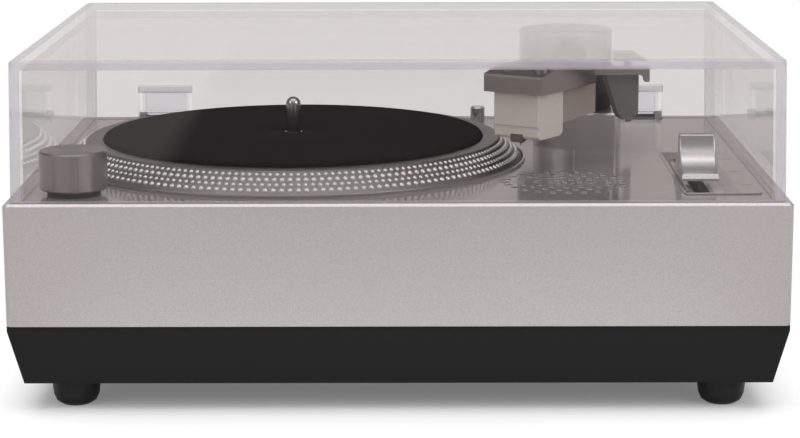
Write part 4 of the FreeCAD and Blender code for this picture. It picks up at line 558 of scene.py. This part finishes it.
def grille_edges():
    """Polished beads round the grille's holes: half a torus each, point = centre + (r cos a, r sin a, z)."""
    rings = 7
    sides = 18
    lift = np.linspace(0, np.pi, rings)
    radius = grille_hole + edge_round / 2 + edge_round * np.cos(lift)
    height = edge_round * np.sin(lift)
    turn = np.arange(sides) * 2 * np.pi / sides
    local = np.stack([radius[:, None] * np.cos(turn), radius[:, None] * np.sin(turn),
                      np.repeat(height[:, None], sides, 1)], -1)
    places = [(0.0, 0.0)]
    for ring in range(1, grille_rings + 1):
        turn = np.arange(6 * ring) * 2 * np.pi / (6 * ring)
        places += list(zip(ring * grille_pitch * np.cos(turn), ring * grille_pitch * np.sin(turn)))
    places = np.array([(grille_x + x, grille_y + y, deck_z) for x, y in places])
    points = (local.reshape(1, -1, 3) + places[:, None]).reshape(-1, 3)
    faces = grid_faces(rings, sides, True)
    faces = (faces[None] + (np.arange(len(places)) * rings * sides)[:, None, None]).reshape(-1, 4)
    edges = new_object("grille_edges", points, faces, spindle_steel, "plinth")


platter_rim()
felt_mat()
grille_edges()


def grey_by_value(tree, source, output, stops):
    """A grey that follows a value through stops of (value from 0 to 1, grey)."""
    ramp = add_node(tree, "ShaderNodeValToRGB", None, None, {"Fac": (source, output)})
    for index, (place, grey) in enumerate(stops):
        element = ramp.color_ramp.elements[index] if index < 2 else ramp.color_ramp.elements.new(place)
        element.position = place
        element.color = (grey, grey, grey, 1.0)
    return ramp


def backdrop():
    """A pale floor that curves up into a wall: y = start + r sin a, z = r - r cos a, for a quarter turn.

    Polished parts mirror a painted reflection, a greyer floor and wall than the camera sees, and the floor
    that is seen glows plain white behind and beside the part, a painted glow that hides its shadow there.
    """
    turn = np.linspace(0, np.pi / 2, 16)
    y = np.concatenate([[floor_front], curve_start + curve_radius * np.sin(turn),
                        [curve_start + curve_radius]])
    z = np.concatenate([[0.0], curve_radius - curve_radius * np.cos(turn), [wall_height]])
    x = np.array([-floor_half_width, floor_half_width])
    points = np.stack([np.repeat(x[None], len(y), 0), np.repeat(y[:, None], 2, 1),
                       np.repeat(z[:, None], 2, 1)], -1)
    mesh = bpy.data.meshes.new("floor")
    mesh.from_pydata(points.reshape(-1, 3).tolist(), [], grid_faces(len(y), 2, False).tolist())
    mesh.shade_smooth()
    floor = bpy.data.objects.new("floor", mesh)
    bpy.context.scene.collection.objects.link(floor)
    material, tree, shader = new_material("white_paper", paper_white, 0.0, 0.9, Specular_IOR_Level=0.0)
    place = add_node(tree, "ShaderNodeTexCoord")
    axes = add_node(tree, "ShaderNodeSeparateXYZ", None, None, {"Vector": (place, "Object")})
    # Painted reflection: polished parts mirror this floor darker towards the front than the white paper is
    front = add_node(tree, "ShaderNodeMapRange", None,
                     {"From Min": painted_reflection_floor_span[0], "From Max": painted_reflection_floor_span[1], "To Min": 0.0, "To Max": 1.0},
                     {"Value": (axes, "Y")})
    mirrored = add_node(tree, "ShaderNodeMix", {"data_type": "RGBA"},
                        {6: linear("#444242"), 7: linear(paper_white)},
                        {0: (front, "Result")})
    path = add_node(tree, "ShaderNodeLightPath")
    seen = add_node(tree, "ShaderNodeMix", {"data_type": "RGBA"}, {6: linear(paper_white)},
                    {0: (path, "Is Glossy Ray"), 7: (mirrored, 2)})
    tree.links.new(seen.outputs[2], shader.inputs["Base Color"])
    # Painted reflection: the wall that polished parts mirror turns grey towards the top
    rise = add_node(tree, "ShaderNodeMapRange", None,
                    {"From Min": painted_reflection_wall_span[0], "From Max": painted_reflection_wall_span[1], "To Min": 0.0, "To Max": 1.0},
                    {"Value": (axes, "Z")})
    wall = add_node(tree, "ShaderNodeMix", {"data_type": "RGBA"},
                    {6: linear("#e0dbd8"), 7: linear("#6e6a68")},
                    {0: (rise, "Result")})
    shade = add_node(tree, "ShaderNodeMix", {"data_type": "RGBA"}, {6: linear("#ffffff")},
                     {0: (path, "Is Glossy Ray"), 7: (wall, 2)})
    glow = add_node(tree, "ShaderNodeEmission", None, {"Strength": 1.0}, {"Color": (shade, 2)})
    # Painted glow: the floor that the camera and polished parts see glows plain white behind and beside the
    # part, which hides the part's shadow there; below the part only a small share glows, so most of its
    # shadow stays
    far = add_node(tree, "ShaderNodeMapRange", None,
                   {"From Min": painted_glow_behind_span[0], "From Max": painted_glow_behind_span[1], "To Min": 0.0, "To Max": 1.0},
                   {"Value": (axes, "Y")})
    wide = add_node(tree, "ShaderNodeMath", {"operation": "ABSOLUTE"}, None, {0: (axes, "X")})
    beside = add_node(tree, "ShaderNodeMapRange", None,
                      {"From Min": painted_glow_beside_span[0], "From Max": painted_glow_beside_span[1], "To Min": painted_glow_under_share,
                       "To Max": 1.0},
                      {"Value": (wide, "Value")})
    away = add_node(tree, "ShaderNodeMath", {"operation": "MAXIMUM"}, None,
                    {0: (far, "Result"), 1: (beside, "Result")})
    direct = add_node(tree, "ShaderNodeMath", {"operation": "MAXIMUM"}, None,
                      {0: (path, "Is Camera Ray"), 1: (path, "Is Glossy Ray")})
    share = add_node(tree, "ShaderNodeMath", {"operation": "MULTIPLY"}, None,
                     {0: (away, "Value"), 1: (direct, "Value")})
    mix = add_node(tree, "ShaderNodeMixShader", None, None, {"Fac": (share, "Value")})
    tree.links.new(shader.outputs["BSDF"], mix.inputs[1])
    tree.links.new(glow.outputs["Emission"], mix.inputs[2])
    tree.links.new(mix.outputs["Shader"], tree.nodes["Material Output"].inputs["Surface"])
    floor.data.materials.append(material)


def lamp(name, place, target, width, height, power, mirrored):
    """A soft area lamp that looks at a point."""
    data = bpy.data.lights.new(name, "AREA")
    data.shape = "RECTANGLE"
    data.size = width
    data.size_y = height
    data.energy = power
    thing = bpy.data.objects.new(name, data)
    thing.location = place
    thing.rotation_euler = (Vector(target) - Vector(place)).to_track_quat("-Z", "Y").to_euler()
    thing.visible_glossy = mirrored
    bpy.context.scene.collection.objects.link(thing)


def studio():
    """Soft lamps and a world that metal mirrors: bright above and in front, dark behind, pale at the back."""
    world = bpy.data.worlds.new("studio")
    bpy.context.scene.world = world
    world.use_nodes = True
    tree = world.node_tree
    back = tree.nodes["Background"]
    place = add_node(tree, "ShaderNodeTexCoord")
    axes = add_node(tree, "ShaderNodeSeparateXYZ", None, None, {"Vector": (place, "Generated")})
    ahead = add_node(tree, "ShaderNodeMath", {"operation": "MULTIPLY"}, {1: -1.0}, {0: (axes, "Y")})
    turn = add_node(tree, "ShaderNodeMath", {"operation": "ARCTAN2"}, None,
                    {0: (axes, "Z"), 1: (ahead, "Value")})
    share = add_node(tree, "ShaderNodeMath", {"operation": "DIVIDE"}, {1: math.pi}, {0: (turn, "Value")})
    ramp = grey_by_value(tree, share, "Value", mirror_stops)
    wide = add_node(tree, "ShaderNodeMath", {"operation": "ABSOLUTE"}, None, {0: (axes, "X")})
    aside = add_node(tree, "ShaderNodeMapRange", None, {"From Min": 0.4, "From Max": 0.9, "To Min": 1.0,
                                                        "To Max": 0.3},
                     {"Value": (wide, "Value")})
    path = add_node(tree, "ShaderNodeLightPath")
    dimmed = add_node(tree, "ShaderNodeVectorMath", {"operation": "SCALE"}, None,
                      {0: (ramp, "Color"), "Scale": (aside, "Result")})
    mirror = add_node(tree, "ShaderNodeMix", {"data_type": "RGBA"}, {6: linear("#ffffff")},
                      {0: (path, "Is Glossy Ray"), 7: (dimmed, "Vector")})
    tree.links.new(mirror.outputs[2], back.inputs["Color"])
    strength = add_node(tree, "ShaderNodeMix", {"data_type": "FLOAT"}, {2: 0.55, 3: 1.3},
                        {0: (path, "Is Glossy Ray")})
    tree.links.new(strength.outputs[0], back.inputs["Strength"])
    for settings in lamps:
        lamp(*settings)


backdrop()
studio()
